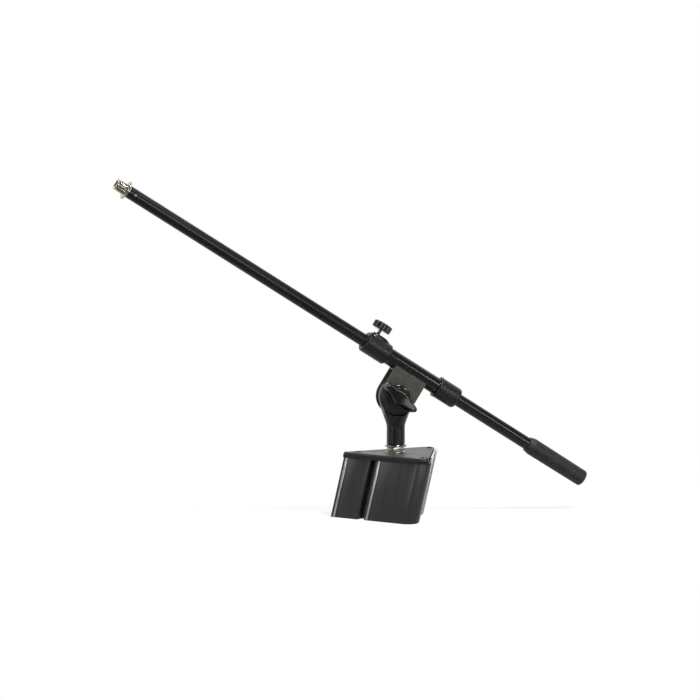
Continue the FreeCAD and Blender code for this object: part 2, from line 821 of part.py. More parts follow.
def friction_discs():
    inner = "bolt_dia / 2 + 0.6"
    near = "tongue_thick / 2"
    far = near + " + disc_thick"
    front = axle_ring("friction_disc_front", inner, "disc_radius", near, far)
    rear = axle_ring("friction_disc_rear", inner, "disc_radius", "-(%s)" % far, "-(%s)" % near)
    return [front, rear]


EAR_FACE = "(ear_gap / 2 + sheet_thick)"
SPRING_WASHER = EAR_FACE + " + clutch_gap"


def bolt_washer():
    return axle_ring("bolt_washer", "bolt_dia / 2", "washer_dia / 2", "-%s - washer_thick" % EAR_FACE,
                     "-%s" % EAR_FACE)


def wing_washer():
    return axle_ring("wing_washer", "bolt_dia / 2 + bolt_gap", "washer_dia / 2", SPRING_WASHER,
                     SPRING_WASHER + " + washer_thick")


def wing_insert():
    near = SPRING_WASHER + " + washer_thick"
    return axle_ring("wing_insert", "bolt_dia / 2 + bolt_gap", "wing_insert_dia / 2", near,
                     "wing_insert_end")


def pivot_bolt():
    """Hexagon head behind the rear ear, shank through the clutch into the knob's nut."""
    body = new_body("pivot_bolt")
    under_head = "-%s - washer_thick" % EAR_FACE
    head = new_sketch(body, "head", "XY_Plane", under_head + " - bolt_head_height")
    draw(head, hexagon("bolt_head_flats"))
    pad(body, head, "bolt_head_height")
    DOC.recompute()
    spin(body, "shank", "XZ_Plane", "V_Axis", [
        ("0", under_head + " - 1"),
        ("bolt_dia / 2", under_head + " - 1"),
        ("bolt_dia / 2", "bolt_reach - 0.8"),
        ("bolt_dia / 2 - 0.8", "bolt_reach"),
        ("0", "bolt_reach"),
    ])
    on_axle(body)
    return body


def wing_outline():
    """Two wings joined across the hub, wider and rounded at their tips."""
    right = [
        ("wing_neck_length", "-wing_neck_width / 2"),
        ("wing_reach - wing_tip_round", "-wing_tip_width / 2", "wing_tip_round"),
        ("wing_reach", "-wing_tip_width / 2 + wing_tip_round"),
        ("wing_reach", "wing_tip_width / 2 - wing_tip_round", "wing_tip_round"),
        ("wing_reach - wing_tip_round", "wing_tip_width / 2"),
        ("wing_neck_length", "wing_neck_width / 2"),
    ]
    left = [("-(%s)" % corner[0], "-(%s)" % corner[1]) + corner[2:] for corner in right]
    return right + left


def wing_knob():
    """Moulded wing knob: dished wings with rounded edges, then flange and domed hub turned
    as one, with a blind hole for the brass nut."""
    body = new_body("wing_knob")
    wings = new_sketch(body, "wings", "XZ_Plane", "wing_back")
    draw(wings, wing_outline())
    raised = pad(body, wings, "wing_front - wing_back")
    bind(raised, "TaperAngle", "-wing_draft")
    dish = new_sketch(body, "dish", "XY_Plane")
    span = "(wing_reach - wing_land)"
    hollow = "((%s ^ 2 + wing_dish ^ 2) / 2 / wing_dish)" % span
    draw(dish, [
        ("-" + span, "-wing_front - 2"),
        (span, "-wing_front - 2"),
        (span, "-wing_front", hollow),
        ("-" + span, "-wing_front"),
    ])
    pocket(body, dish, "wing_flange_dia + 2", midplane=True)
    behind = -number("wing_back") - 1
    round_edges(body, "wing_round", lambda edge: on_wing_front(edge, behind))
    near = "-(%s + washer_thick)" % SPRING_WASHER
    crown = "-(wing_front - wing_dish + hub_crown)"
    spin(body, "hub", "XY_Plane", "V_Axis", [
        ("0", crown),
        ("wing_hub_dia / 4", crown + " + 0.4", "wing_hub_dia / 2.6"),
        ("wing_hub_dia / 2", crown + " + 3.4"),
        ("wing_hub_dia / 2", near + " - wing_flange_thick - 1"),
        ("wing_flange_dia / 2 - 0.8", near + " - wing_flange_thick"),
        ("wing_flange_dia / 2", near + " - wing_flange_thick + 0.8"),
        ("wing_flange_dia / 2", near),
        ("wing_insert_dia / 2", near),
        ("wing_insert_dia / 2", "-wing_insert_end"),
        ("0", "-wing_insert_end"),
    ])
    bore = new_sketch(body, "nut_bore", "XZ_Plane", "wing_insert_end")
    draw_circle(bore, "0", "0", "wing_insert_dia")
    pocket(body, bore, "wing_insert_end - wing_back + 1")
    place(body, PIVOT, Vector(0, 1, 0), "wing_angle")
    return body


def on_wing_front(edge, behind):
    """Edges of the wings' dished front face, and not the upright ones of their sides."""
    return edge.BoundBox.YMin < behind and edge.BoundBox.YLength < number("wing_dish")


# Boom clamp, in the boom frame ---------------------------------------------------------------
def pivot_bracket():
    """U of sheet steel: two round-ended ears and a saddle let in to fit the sleeve."""
    body = new_body("pivot_bracket")
    ears = new_sketch(body, "ears", "XZ_Plane")
    draw(ears, [
        ("-ear_radius", "-axle_drop", "ear_radius"),
        ("0", "-axle_drop - ear_radius", "ear_radius"),
        ("ear_radius", "-axle_drop"),
        ("ear_radius", "-ear_top"),
        ("-ear_radius", "-ear_top"),
    ])
    pad(body, ears, "ear_gap + 2 * sheet_thick", midplane=True)
    saddle = "-sleeve_dia / 2 - sheet_thick"
    gap = new_sketch(body, "gap", "XZ_Plane")
    draw(gap, [
        ("-ear_radius - 1", "-axle_drop - ear_radius - 1"),
        ("ear_radius + 1", "-axle_drop - ear_radius - 1"),
        ("ear_radius + 1", saddle),
        ("-ear_radius - 1", saddle),
    ])
    pocket(body, gap, "ear_gap", midplane=True)
    seat = new_sketch(body, "sleeve_seat", "YZ_Plane")
    draw_circle(seat, "0", "0", "sleeve_dia")
    pocket(body, seat, "2 * ear_radius + 4", midplane=True)
    bore = new_sketch(body, "pivot_holes", "XZ_Plane")
    draw_circle(bore, "0", "-axle_drop", "bolt_dia")
    pocket(body, bore, "ear_gap + 2 * sheet_thick + 2", midplane=True)
    on_boom(body)
    return body


SLEEVE_BORE = "(sleeve_dia / 2 - sleeve_wall)"


def boom_sleeve():
    body = turned("boom_sleeve", [
        ("-sleeve_front", SLEEVE_BORE),
        ("sleeve_rear", SLEEVE_BORE),
        ("sleeve_rear", "sleeve_dia / 2"),
        ("-sleeve_front", "sleeve_dia / 2"),
    ], "H_Axis")
    on_boom(body)
    return body


def front_collar():
    """Cap over the sleeve's front end, with the boss that takes the thumb screw."""
    outer = "collar_dia / 2"
    body = turned("front_collar", [
        ("-front_collar_end", "collar_bore / 2"),
        ("-sleeve_front", "collar_bore / 2"),
        ("-sleeve_front", "sleeve_dia / 2"),
        ("-front_collar_root", "sleeve_dia / 2"),
        ("-front_collar_root", outer + " - 1.2"),
        ("-front_collar_root - 1.2", outer),
        ("-front_collar_end + 2", outer),
        ("-front_collar_end", outer + " - 2"),
    ], "H_Axis")
    boss = new_sketch(body, "boss", "XY_Plane", "boss_base")
    draw_circle(boss, "-boss_place", "0", "boss_dia")
    pad(body, boss, "boss_top - boss_base")
    ramp = new_sketch(body, "ramp", "XZ_Plane")
    draw(ramp, [
        ("-boss_place", "boss_base"),
        ("-boss_place + boss_tail", "boss_base"),
        ("-boss_place + boss_tail", outer),
        ("-boss_place + boss_dia / 3", "boss_top - boss_round"),
        ("-boss_place", "boss_top - boss_round"),
    ])
    pad(body, ramp, "boss_tail_width", midplane=True)
    top = number("boss_top")
    round_edges(body, "boss_round", lambda edge: abs(edge.BoundBox.ZMin - top) < 0.01)
    hole = new_sketch(body, "screw_hole", "XY_Plane", "boss_top")
    draw_circle(hole, "-boss_place", "0", "thumb_screw_dia + 2 * thread_gap")
    pocket(body, hole, "boss_top")
    on_boom(body)
    return body


def rear_collar():
    outer = "rear_collar_dia / 2"
    rim = "rear_rim_dia / 2"
    body = turned("rear_collar", [
        ("rear_collar_root", "sleeve_dia / 2"),
        ("sleeve_rear", "sleeve_dia / 2"),
        ("sleeve_rear", "collar_bore / 2"),
        ("rear_collar_end", "collar_bore / 2"),
        ("rear_collar_end", outer + " - rear_collar_round", "rear_collar_round"),
        ("rear_collar_end - rear_collar_round", outer),
        ("rear_collar_root + rear_rim_width", outer),
        ("rear_collar_root + rear_rim_width - 0.5", rim),
        ("rear_collar_root + 0.6", rim),
        ("rear_collar_root", rim + " - 0.6"),
    ], "H_Axis")
    on_boom(body)
    return body


def liner(label, front, rear):
    inner = "(rod_dia / 2 + liner_gap)"
    section = [(front, inner), (rear, inner), (rear, SLEEVE_BORE), (front, SLEEVE_BORE)]
    body = turned(label, section, "H_Axis")
    on_boom(body)
    return body


def liners():
    front = liner("front_liner", "-sleeve_front", "-sleeve_front + liner_length")
    rear = liner("rear_liner", "sleeve_rear - liner_length", "sleeve_rear")
    return [front, rear]


# Thumb screw ---------------------------------------------------------------------------------
def thumb_knob():
    """Domed knob with flutes round its edge."""
    outer = "thumb_dia / 2"
    side = "thumb_base + thumb_height - thumb_crown"
    bore = "thumb_screw_dia / 2"
    body = turned("thumb_knob", [
        (bore, "thumb_base"),
        (outer + " - 1", "thumb_base"),
        (outer, "thumb_base + 1"),
        (outer, side, "thumb_dia * 0.42"),
        ("thumb_dia / 4", "thumb_base + thumb_height - 0.4"),
        ("0", "thumb_base + thumb_height"),
        ("0", "thumb_screw_top"),
        (bore, "thumb_screw_top"),
    ])
    flute = new_sketch(body, "flute", "XY_Plane", "thumb_base + thumb_height + 1")
    draw_circle(flute, "flute_circle / 2", "0", "flute_dia")
    cut = pocket(body, flute, "thumb_height + 2")
    pattern = body.newObject("PartDesign::PolarPattern", "flutes")
    pattern.Originals = [cut]
    pattern.Axis = (flute, ["N_Axis"])
    pattern.Angle = 360
    bind(pattern, "Occurrences", "flute_count")
    body.Tip = pattern
    on_boom(body, "-boss_place")
    return body


def thumb_screw():
    body = turned("thumb_screw", [
        ("0", "thumb_screw_low"),
        ("thumb_screw_dia / 2 - 0.5", "thumb_screw_low"),
        ("thumb_screw_dia / 2", "thumb_screw_low + 0.5"),
        ("thumb_screw_dia / 2", "thumb_screw_top"),
        ("0", "thumb_screw_top"),
    ])
    on_boom(body, "-boss_place")
    return body


def thumb_shoe():
    body = turned("thumb_shoe", [
        ("0", "shoe_low"),
        ("shoe_dia / 2", "shoe_low"),
        ("shoe_dia / 2", "thumb_screw_low"),
        ("0", "thumb_screw_low"),
    ])
    on_boom(body, "-boss_place")
    return body


# Rod and what is on it -------------------------------------------------------------------------
def pin_hole(body):
    """Cross hole for the roll pin."""
    hole = new_sketch(body, "pin_hole", "XZ_Plane")
    draw_circle(hole, "-pin_place", "0", "pin_dia")
    pocket(body, hole, "rod_dia + 2", midplane=True)


def boom_rod():
    bore = "rod_dia / 2 - rod_wall"
    body = turned("boom_rod", [
        ("-rod_front", bore),
        ("rod_rear", bore),
        ("rod_rear", "rod_dia / 2"),
        ("-rod_front", "rod_dia / 2"),
    ], "H_Axis")
    pin_hole(body)
    on_boom(body)
    return body


def mic_adapter():
    """Threaded end turned from bar, plugged into the rod and drilled at its tip."""
    plug = "rod_dia / 2 - rod_wall"
    major = "stud_dia / 2"
    body = turned("mic_adapter", [
        ("-adapter_end", "adapter_bore / 2"),
        ("-adapter_end + adapter_bore_depth", "adapter_bore / 2"),
        ("-adapter_end + adapter_bore_depth", "0"),
        ("-rod_front + adapter_plug", "0"),
        ("-rod_front + adapter_plug", plug),
        ("-rod_front", plug),
        ("-rod_front", "relief_dia / 2"),
        ("-rod_front - thread_relief", "relief_dia / 2"),
        ("-rod_front - thread_relief", major),
        ("-adapter_end + 1", major),
        ("-adapter_end", major + " - 1"),
    ], "H_Axis")
    pin_hole(body)
    on_boom(body)
    return body


def adapter_pin():
    pin = DOC.addObject("Part::Cylinder", "adapter_pin")
    pin.Label = "adapter_pin"
    bind(pin, "Radius", "pin_dia / 2")
    bind(pin, "Height", "rod_dia - 2 * pin_recess")
    x = "%s + axle_drop * sin(boom_tilt) - pin_place * cos(boom_tilt)" % PIVOT[0]
    y = "%s + rod_dia / 2 - pin_recess" % PIVOT[1]
    z = "%s + axle_drop * cos(boom_tilt) + pin_place * sin(boom_tilt)" % PIVOT[2]
    place(pin, (x, y, z), Vector(1, 0, 0), "90")
    return pin


def upper_lock_ring():
    profile = ring_profile(THREAD_BORE, "upper_ring_dia / 2", "-upper_ring_place - ring_thick",
                           "-upper_ring_place", "0.5")
    body = turned("upper_lock_ring", lying(profile), "H_Axis")
    on_boom(body)
    return body


def boom_grip():
    """Moulded grip: nose taper, slow taper to the end, slightly domed end."""
    body = turned("boom_grip", [
        ("grip_start", "rod_dia / 2"),
        ("rod_rear", "rod_dia / 2"),
        ("rod_rear", "0"),
        ("grip_end", "0"),
        ("grip_end - grip_crown", "grip_end_dia / 2 - grip_lip", "grip_lip * 1.05"),
        ("grip_end - grip_crown - grip_lip", "grip_end_dia / 2"),
        ("grip_start + grip_nose_length", "grip_dia / 2"),
        ("grip_start + grip_nose_edge", "grip_nose_dia / 2"),
        ("grip_start", "grip_nose_dia / 2 - grip_nose_edge"),
    ], "H_Axis")
    on_boom(body)
    return body


def grip_weight():
    bore = "rod_dia / 2 - rod_wall"
    body = turned("grip_weight", [
        ("weight_start", "0"),
        ("rod_rear", "0"),
        ("rod_rear", bore),
        ("weight_start", bore),
    ], "H_Axis")
    on_boom(body)
    return body


def build():
    nodes = [
        column_extrusion(),
        edge_trims("trim_strips_near", -1),
        edge_trims("trim_strips_far", 1),
        front_track(),
        column_cap(),
        cap_plate(),
        cap_screws(),
        threaded_stud(),
        stud_washer(),
        hex_nut("stud_nut", "nut_flats", "(column_height + nut_washer_thick)", "nut_height"),
        hex_nut("stud_back_nut", "back_nut_flats", "(%s - back_nut_height)" % COLUMN_TOP, "back_nut_height"),
        lower_lock_ring(),
        swivel_casting(),
        thread_insert(),
        pivot_bracket(),
        pivot_bolt(),
        bolt_washer(),
        boom_sleeve(),
        front_collar(),
        rear_collar(),
        wing_knob(),
        wing_insert(),
        wing_washer(),
        thumb_knob(),
        thumb_screw(),
        thumb_shoe(),
        boom_rod(),
        mic_adapter(),
        adapter_pin(),
        upper_lock_ring(),
        boom_grip(),
        grip_weight(),
    ]
    return nodes + friction_discs() + liners()


def check(nodes):
    """Nothing is written unless every object computed and every piece is a sound solid."""
    DOC.recompute()
    for item in DOC.Objects:
        if "Invalid" in item.State or "Error" in item.State:
            raise RuntimeError(item.Label + " failed: " + ", ".join(item.State))
    for node in nodes:
        shape = node.Shape
        if shape.isNull() or not shape.isValid() or not shape.Solids:
            raise RuntimeError(node.Label + " has no sound shape")


def export(nodes):
    os.makedirs("parts", exist_ok=True)
    for node in nodes:
        node.Shape.exportStep("parts/%s.step" % node.Label)
        box = node.Shape.BoundBox
        print("%-22s %d solid(s) %10.1f mm3  z %7.1f to %7.1f" % (
            node.Label, len(node.Shape.Solids), node.Shape.Volume, box.ZMin, box.ZMax))


NODES = build()
check(NODES)
export(NODES)
print(len(NODES), "pieces written")
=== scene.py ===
# %% [markdown]
# # A microphone boom on its column head
# The model arrives as a fixed frame: every part of the construction at its real size, in
# metres, with its joints. This lesson dresses that frame. Parts whose shape is already right
# keep it and get a finish; parts that need soft edges, threads or a moulded form are made
# again here, in exactly the space that the frame gives them.

# %% Load the frame
import json
import math

import bmesh
import bpy
from mathutils import Matrix, Vector


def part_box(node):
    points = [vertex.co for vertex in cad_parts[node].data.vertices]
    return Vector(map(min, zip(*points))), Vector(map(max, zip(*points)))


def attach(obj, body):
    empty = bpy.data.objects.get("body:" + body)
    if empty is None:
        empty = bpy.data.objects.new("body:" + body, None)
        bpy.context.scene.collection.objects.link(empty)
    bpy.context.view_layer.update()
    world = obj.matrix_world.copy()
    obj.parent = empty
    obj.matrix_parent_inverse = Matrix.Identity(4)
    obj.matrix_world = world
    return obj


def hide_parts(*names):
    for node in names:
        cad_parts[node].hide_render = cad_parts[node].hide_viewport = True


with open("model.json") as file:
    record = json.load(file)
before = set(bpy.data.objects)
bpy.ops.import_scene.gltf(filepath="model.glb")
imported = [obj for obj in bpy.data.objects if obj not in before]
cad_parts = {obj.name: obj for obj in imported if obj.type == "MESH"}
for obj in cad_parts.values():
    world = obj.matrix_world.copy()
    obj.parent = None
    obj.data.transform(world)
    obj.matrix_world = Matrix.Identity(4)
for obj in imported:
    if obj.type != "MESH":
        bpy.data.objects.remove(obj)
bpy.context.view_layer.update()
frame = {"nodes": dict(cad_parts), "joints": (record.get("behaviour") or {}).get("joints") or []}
MM = 0.001
PER_MM = 1000
JOINTS = {joint["name"]: joint for joint in frame["joints"]}
NODES = frame["nodes"]


# %% [markdown]
# ## Where things are
# A boom stand is a chain of turned parts on a few axes: the vertical stud, the tilt axle and
# the sloping boom. Each axis gets a local frame, read from the joints, so that a profile can be
# drawn as a turner would draw it, and then placed. All places are measured on the frame's own
# parts, so nothing here has to be typed in twice.

# %% Local frames
def axis_frame(origin, z, x):
    """Matrix of a right-handed frame with the given origin, z axis and x axis."""
    z = Vector(z).normalized()
    x = (Vector(x) - z * z.dot(Vector(x))).normalized()
    y = z.cross(x)
    turn = Matrix((x, y, z)).transposed().to_4x4()
    return Matrix.Translation(origin) @ turn


TILT_AXIS = Vector(JOINTS["boom_tilt"]["pos_m"])
ALONG = Vector(JOINTS["boom_slide"]["axis"])
ACROSS = Vector(JOINTS["thumb_turn"]["axis"])
ring_place = Vector(JOINTS["upper_ring_turn"]["pos_m"])
BOOM_FOOT = ring_place + ALONG * ALONG.dot(TILT_AXIS - ring_place)
BOOM = axis_frame(BOOM_FOOT, ALONG, ACROSS)
BOOM_ANGLE = math.atan2(ALONG.z, ALONG.x)
STUD = axis_frame((TILT_AXIS.x, TILT_AXIS.y, 0), (0, 0, 1), (1, 0, 0))
PIVOT = axis_frame(TILT_AXIS, (0, 0, 1), (1, 0, 0))
AXLE = axis_frame(TILT_AXIS, (0, -1, 0), (1, 0, 0))
THUMB = axis_frame(JOINTS["thumb_turn"]["pos_m"], ACROSS, ALONG)
print("tilt axis %.1f mm above the cut face, boom axis %.1f mm above that" % (
    TILT_AXIS.z / MM, (BOOM_FOOT - TILT_AXIS).length / MM))


def measured(node, place):
    """Lowest and highest corner of a part in a local frame."""
    back = place.inverted()
    points = [back @ vertex.co for vertex in NODES[node].data.vertices]
    low = Vector([min(p[i] for p in points) for i in range(3)])
    high = Vector([max(p[i] for p in points) for i in range(3)])
    return low, high


def along_axis(node, place):
    """Start, end and outside radius of a turned part on its own axis."""
    low, high = measured(node, place)
    return low.z, high.z, (high.y - low.y) / 2


# %% [markdown]
# ## Finishes
# Every finish starts from the real one. Colours are written as sRGB hex values, as a paint
# chart gives them, and one function turns them to the linear values that the shader wants.
# Patterns are in millimetres: the object's own coordinates, in metres, are scaled up first.

# %% Colour and node helpers
def colour(text):
    """Linear RGBA from an sRGB hex value."""
    parts = [int(text[i:i + 2], 16) / 255 for i in (1, 3, 5)]
    linear = [p / 12.92 if p <= 0.04045 else ((p + 0.055) / 1.055) ** 2.4 for p in parts]
    return (*linear, 1.0)


WHITE = colour("#FFFFFF")


def add(tree, kind, inputs=None, **settings):
    """Adds one node; an input is a value, or another node's socket to link from."""
    made = tree.nodes.new(kind)
    for name, value in settings.items():
        setattr(made, name, value)
    for name, value in (inputs or {}).items():
        if isinstance(value, bpy.types.NodeSocket):
            tree.links.new(value, made.inputs[name])
        else:
            made.inputs[name].default_value = value
    return made


def new_material(name):
    """An empty material and its node tree."""
    material = bpy.data.materials.new(name)
    material.use_nodes = True
    material.node_tree.nodes.clear()
    return material, material.node_tree


def in_millimetres(tree, stretch=(1, 1, 1), turn=(0, 0, 0)):
    """Object coordinates in millimetres, turned first and then stretched."""
    place = add(tree, "ShaderNodeTexCoord")
    turned_place = add(tree, "ShaderNodeMapping", {
        "Vector": place.outputs["Object"], "Rotation": turn})
    return add(tree, "ShaderNodeMapping", {
        "Vector": turned_place.outputs["Vector"],
        "Scale": tuple(part * PER_MM for part in stretch)})


def grain(tree, place, size_mm, detail=3.0):
    """Soft noise whose lumps are about size_mm across."""
    return add(tree, "ShaderNodeTexNoise", {
        "Vector": place.outputs["Vector"], "Scale": 1 / size_mm,
        "Detail": detail, "Roughness": 0.55})


def spread(tree, source, low, high):
    """Maps a noise onto a range, from its usual 0.3 to 0.7."""
    return add(tree, "ShaderNodeMapRange", {
        "Value": source, "From Min": 0.3, "From Max": 0.7, "To Min": low, "To Max": high})


def soft_step(tree, source, start, end, low, high):
    """Goes from low to high while the source goes from start to end, with soft ends."""
    return add(tree, "ShaderNodeMapRange", {
        "Value": source, "From Min": start, "From Max": end, "To Min": low, "To Max": high},
        interpolation_type="SMOOTHSTEP")


def two_tones(tree, source, dark, light):
    """Colour that drifts between two close tones with a noise."""
    ramp = add(tree, "ShaderNodeValToRGB", {"Fac": source})
    for stop, position, tone in zip(ramp.color_ramp.elements, (0.32, 0.68), (dark, light)):
        stop.position = position
        stop.color = colour(tone)
    return ramp


BOOM_TURN = (0, BOOM_ANGLE, 0)
print("finishes ready; the boom falls by %.1f degrees" % -math.degrees(BOOM_ANGLE))


# %% [markdown]
# ### Paints and plastics
# Painted, moulded and rubber surfaces are all a dark body under a clear skin, so they share
# one recipe: two close tones of the colour, a roughness that wanders a little, and a fine bump
# at the scale of that process. What differs is the number: baked enamel flows into a soft
# orange peel, a die casting keeps a sandy skin, and a moulding shows its spark-eroded tool.

# %% Dielectric finishes
BROAD = 14      # the drift of tone is this many times coarser than the bump


def coated(name, dark, light, rough, lump_mm, bump_mm, ior=1.5, stretch=(1, 1, 1), turn=(0, 0, 0),
           shine=0.5):
    """A paint, plastic or rubber. rough is the lowest and highest roughness."""
    material, tree = new_material(name)
    place = in_millimetres(tree, stretch, turn)
    broad = grain(tree, place, lump_mm * BROAD)
    fine = grain(tree, place, lump_mm)
    tones = two_tones(tree, broad.outputs["Fac"], dark, light)
    wear = spread(tree, broad.outputs["Fac"], *rough)
    bump = add(tree, "ShaderNodeBump", {
        "Height": fine.outputs["Fac"], "Strength": 0.6, "Distance": bump_mm * MM})
    shader = add(tree, "ShaderNodeBsdfPrincipled", {
        "Base Color": tones.outputs["Color"], "Roughness": wear.outputs["Result"],
        "Normal": bump.outputs["Normal"], "IOR": ior, "Specular IOR Level": shine})
    add(tree, "ShaderNodeOutputMaterial", {"Surface": shader.outputs["BSDF"]})
    return material


# Baked enamel on drawn steel tube: deep black, smooth, with a faint orange peel. The sleeve's is
# glossier than the rod's, which is rubbed by the liners.
tube_enamel = coated("baked black enamel", "#0F0F10", "#141415", (0.20, 0.26), 1.4, 0.003,
                     stretch=(0.25, 1, 1), turn=BOOM_TURN, shine=0.42)
sleeve_enamel = coated("glossy black enamel", "#0F0F10", "#141415", (0.12, 0.15), 1.4, 0.003,
                       stretch=(0.25, 1, 1), turn=BOOM_TURN, shine=0.7)
# Sprayed enamel on zinc die casting: satin, with the sandy skin of the casting under it.
cast_enamel = coated("satin enamel on die casting", "#0F0F10", "#151516", (0.26, 0.34), 0.5, 0.008,
                     shine=0.45)
# Glass-filled nylon moulding: slightly milky black, eroded texture that scatters highlights.
nylon = coated("moulded black nylon", "#101011", "#161617", (0.30, 0.38), 0.35, 0.006, ior=1.53,
               shine=0.45)
# Polished ABS knob: the glossiest surface on the stand.
knob_plastic = coated("glossy moulded ABS", "#0D0D0E", "#121213", (0.12, 0.16), 2.2, 0.001,
                      ior=1.54)
# Powder coat on sheet steel: grey-green, with the open orange peel that powder always leaves.
powder_coat = coated("olive grey powder coat", "#2C2E27", "#373930", (0.42, 0.54), 0.9, 0.04)
# Vulcanised rubber: soft dull black, no clear edge to its highlight.
rubber = coated("moulded rubber", "#141415", "#1B1B1C", (0.44, 0.56), 0.6, 0.04, ior=1.52,
                shine=0.4)
# Pressed friction fibre: dull brown-grey mat between the clutch faces.
fibre = coated("pressed friction fibre", "#3A332B", "#51483C", (0.80, 0.92), 0.4, 0.08)
# Acetal guide bush: waxy white.
acetal = coated("natural acetal", "#C9C8C0", "#DAD9D2", (0.34, 0.42), 1.0, 0.01, ior=1.48)
# Grey stove enamel on the cap's plate: smooth enough to mirror the stud softly.
plate_enamel = coated("grey satin enamel", "#2C2C2D", "#313132", (0.44, 0.52), 1.2, 0.004)
print("10 coated finishes")

# %% [markdown]
# ### Metals
# A bare metal is all reflection, so its tool marks matter more than its colour. Turned parts
# have fine rings, extrusions have lines drawn out of the die, and plating follows both. The
# marks are one noise, squeezed hard in the direction that the tool ran.

# %% Metal finishes
COLUMN_LEAN = 12.4      # degrees from upright
LEAN_SIDE = 22          # degrees round the upright axis
LEAN_TURN = (0, -math.radians(COLUMN_LEAN), math.radians(LEAN_SIDE))
CLOUD_MM = 9.0          # size of the drifts of tone in a metal


def metal(name, dark, light, rough, mark_mm, bump_mm, stretch=(1, 1, 1), turn=(0, 0, 0)):
    """Bare or plated metal with tool marks; stretch squeezes them into lines."""
    material, tree = new_material(name)
    place = in_millimetres(tree, stretch, turn)
    marks = grain(tree, place, mark_mm, 2.0)
    cloud = grain(tree, in_millimetres(tree), CLOUD_MM)
    tones = two_tones(tree, cloud.outputs["Fac"], dark, light)
    polish = spread(tree, marks.outputs["Fac"], *rough)
    bump = add(tree, "ShaderNodeBump", {
        "Height": marks.outputs["Fac"], "Strength": 0.5, "Distance": bump_mm * MM})
    shader = add(tree, "ShaderNodeBsdfPrincipled", {
        "Base Color": tones.outputs["Color"], "Metallic": 1.0,
        "Roughness": polish.outputs["Result"], "Normal": bump.outputs["Normal"]})
    add(tree, "ShaderNodeOutputMaterial", {"Surface": shader.outputs["BSDF"]})
    return material


# Bright nickel plate: warm silver that goes straw coloured in its darker reflections.
nickel_upright = metal("bright nickel plate, turned upright", "#BDB7A4", "#DAD6CA", (0.12, 0.22),
                       0.25, 0.01, stretch=(0.05, 0.05, 1))
nickel_sloping = metal("bright nickel plate, turned on the boom", "#BDB7A4", "#DAD6CA",
                       (0.14, 0.24), 0.25, 0.01, stretch=(1, 0.05, 0.05), turn=BOOM_TURN)
# Bright zinc on steel screws: cooler and a little cloudy.
zinc = metal("bright zinc plate", "#A4A7AB", "#C2C4C6", (0.24, 0.36), 0.6, 0.01)
# Turned brass, left bare where nobody looks.
brass = metal("turned brass", "#B08D4A", "#CBAA63", (0.22, 0.32), 0.3, 0.01)
# Satin extruded aluminium: lines run up the column, out of the die.
satin_aluminium = metal("satin extruded aluminium", "#B6B8B2", "#CCCEC8", (0.28, 0.38), 0.5, 0.01,
                        stretch=(1, 1, 0.02), turn=LEAN_TURN)
# Blackened steel: a thin oxide that darkens the steel and leaves its shine.
black_oxide = metal("black oxide on steel", "#2A2A2B", "#353536", (0.34, 0.44), 0.5, 0.01)
# Steel bar as it left the lathe.
raw_steel = metal("raw turned steel", "#6E6F70", "#8A8B8C", (0.30, 0.42), 0.4, 0.01)
# Black anodising: dye in a glassy oxide over metal, so it stays dark but keeps die lines.
anodised = coated("black anodised extrusion", "#151617", "#1B1C1D", (0.34, 0.44), 0.7, 0.03,
                  ior=1.6, stretch=(1, 1, 0.02), turn=LEAN_TURN)
print("7 metals and the anodised skin")


# %% [markdown]
# ## Making pieces
# Three ways of making cover the whole stand. A turned piece is a profile spun round an axis; a
# shape function may push its radius in or out with the angle, for flutes, lobes and mounds. An
# eased piece is a copy of the frame's own part with its sharp edges broken, because light
# catches on edges and no real edge is perfectly sharp. A cast piece is several closed forms
# melted together by a voxel remesh, which leaves the soft inside corners that a mould leaves.

# %% Helpers for pieces
def new_piece(name, verts, faces):
    """An object of its own from bare points and faces."""
    mesh = bpy.data.meshes.new(name)
    mesh.from_pydata(verts, [], faces)
    mesh.validate()
    piece = bpy.data.objects.new(name, mesh)
    bpy.context.scene.collection.objects.link(piece)
    return piece


def face_outwards(mesh):
    """Merges doubled points and turns every normal outwards."""
    shape = bmesh.new()
    shape.from_mesh(mesh)
    bmesh.ops.remove_doubles(shape, verts=shape.verts, dist=1e-7)
    bmesh.ops.recalc_face_normals(shape, faces=shape.faces)
    shape.to_mesh(mesh)
    shape.free()


def smooth(piece, sharp_degrees=32):
    """Smooth shading that stops at edges sharper than the angle."""
    piece.data.shade_smooth()
    piece.data.set_sharp_from_angle(angle=math.radians(sharp_degrees))


def applied(piece):
    """Turns a piece with modifiers into a plain mesh."""
    bpy.context.view_layer.update()
    seen = piece.evaluated_get(bpy.context.evaluated_depsgraph_get())
    mesh = bpy.data.meshes.new_from_object(seen)
    piece.modifiers.clear()
    old = piece.data
    piece.data = mesh
    bpy.data.meshes.remove(old)
    mesh.name = piece.name


LONGEST_EASE = 0.4      # share of a side that a rounded corner may take
GUARD = 1.2             # place of a guard point, in lengths of the rounding


def eased_profile(points, radius, closed, steps=4):
    """Rounds each corner of a profile, with a guard point on each side to keep flats flat."""
    result = []
    count = len(points)
    for index, point in enumerate(points):
        here = Vector(point)
        if not closed and index in (0, count - 1):
            result.append(here)
            continue
        before = Vector(points[index - 1]) - here
        after = Vector(points[(index + 1) % count]) - here
        reach = min(radius, before.length * LONGEST_EASE, after.length * LONGEST_EASE)
        start = here + before.normalized() * reach
        end = here + after.normalized() * reach
        result.append(here + before.normalized() * reach * GUARD)
        for step in range(steps + 1):
            t = step / steps
            result.append(start * (1 - t) ** 2 + here * 2 * t * (1 - t) + end * t ** 2)
        result.append(here + after.normalized() * reach * GUARD)
    return result


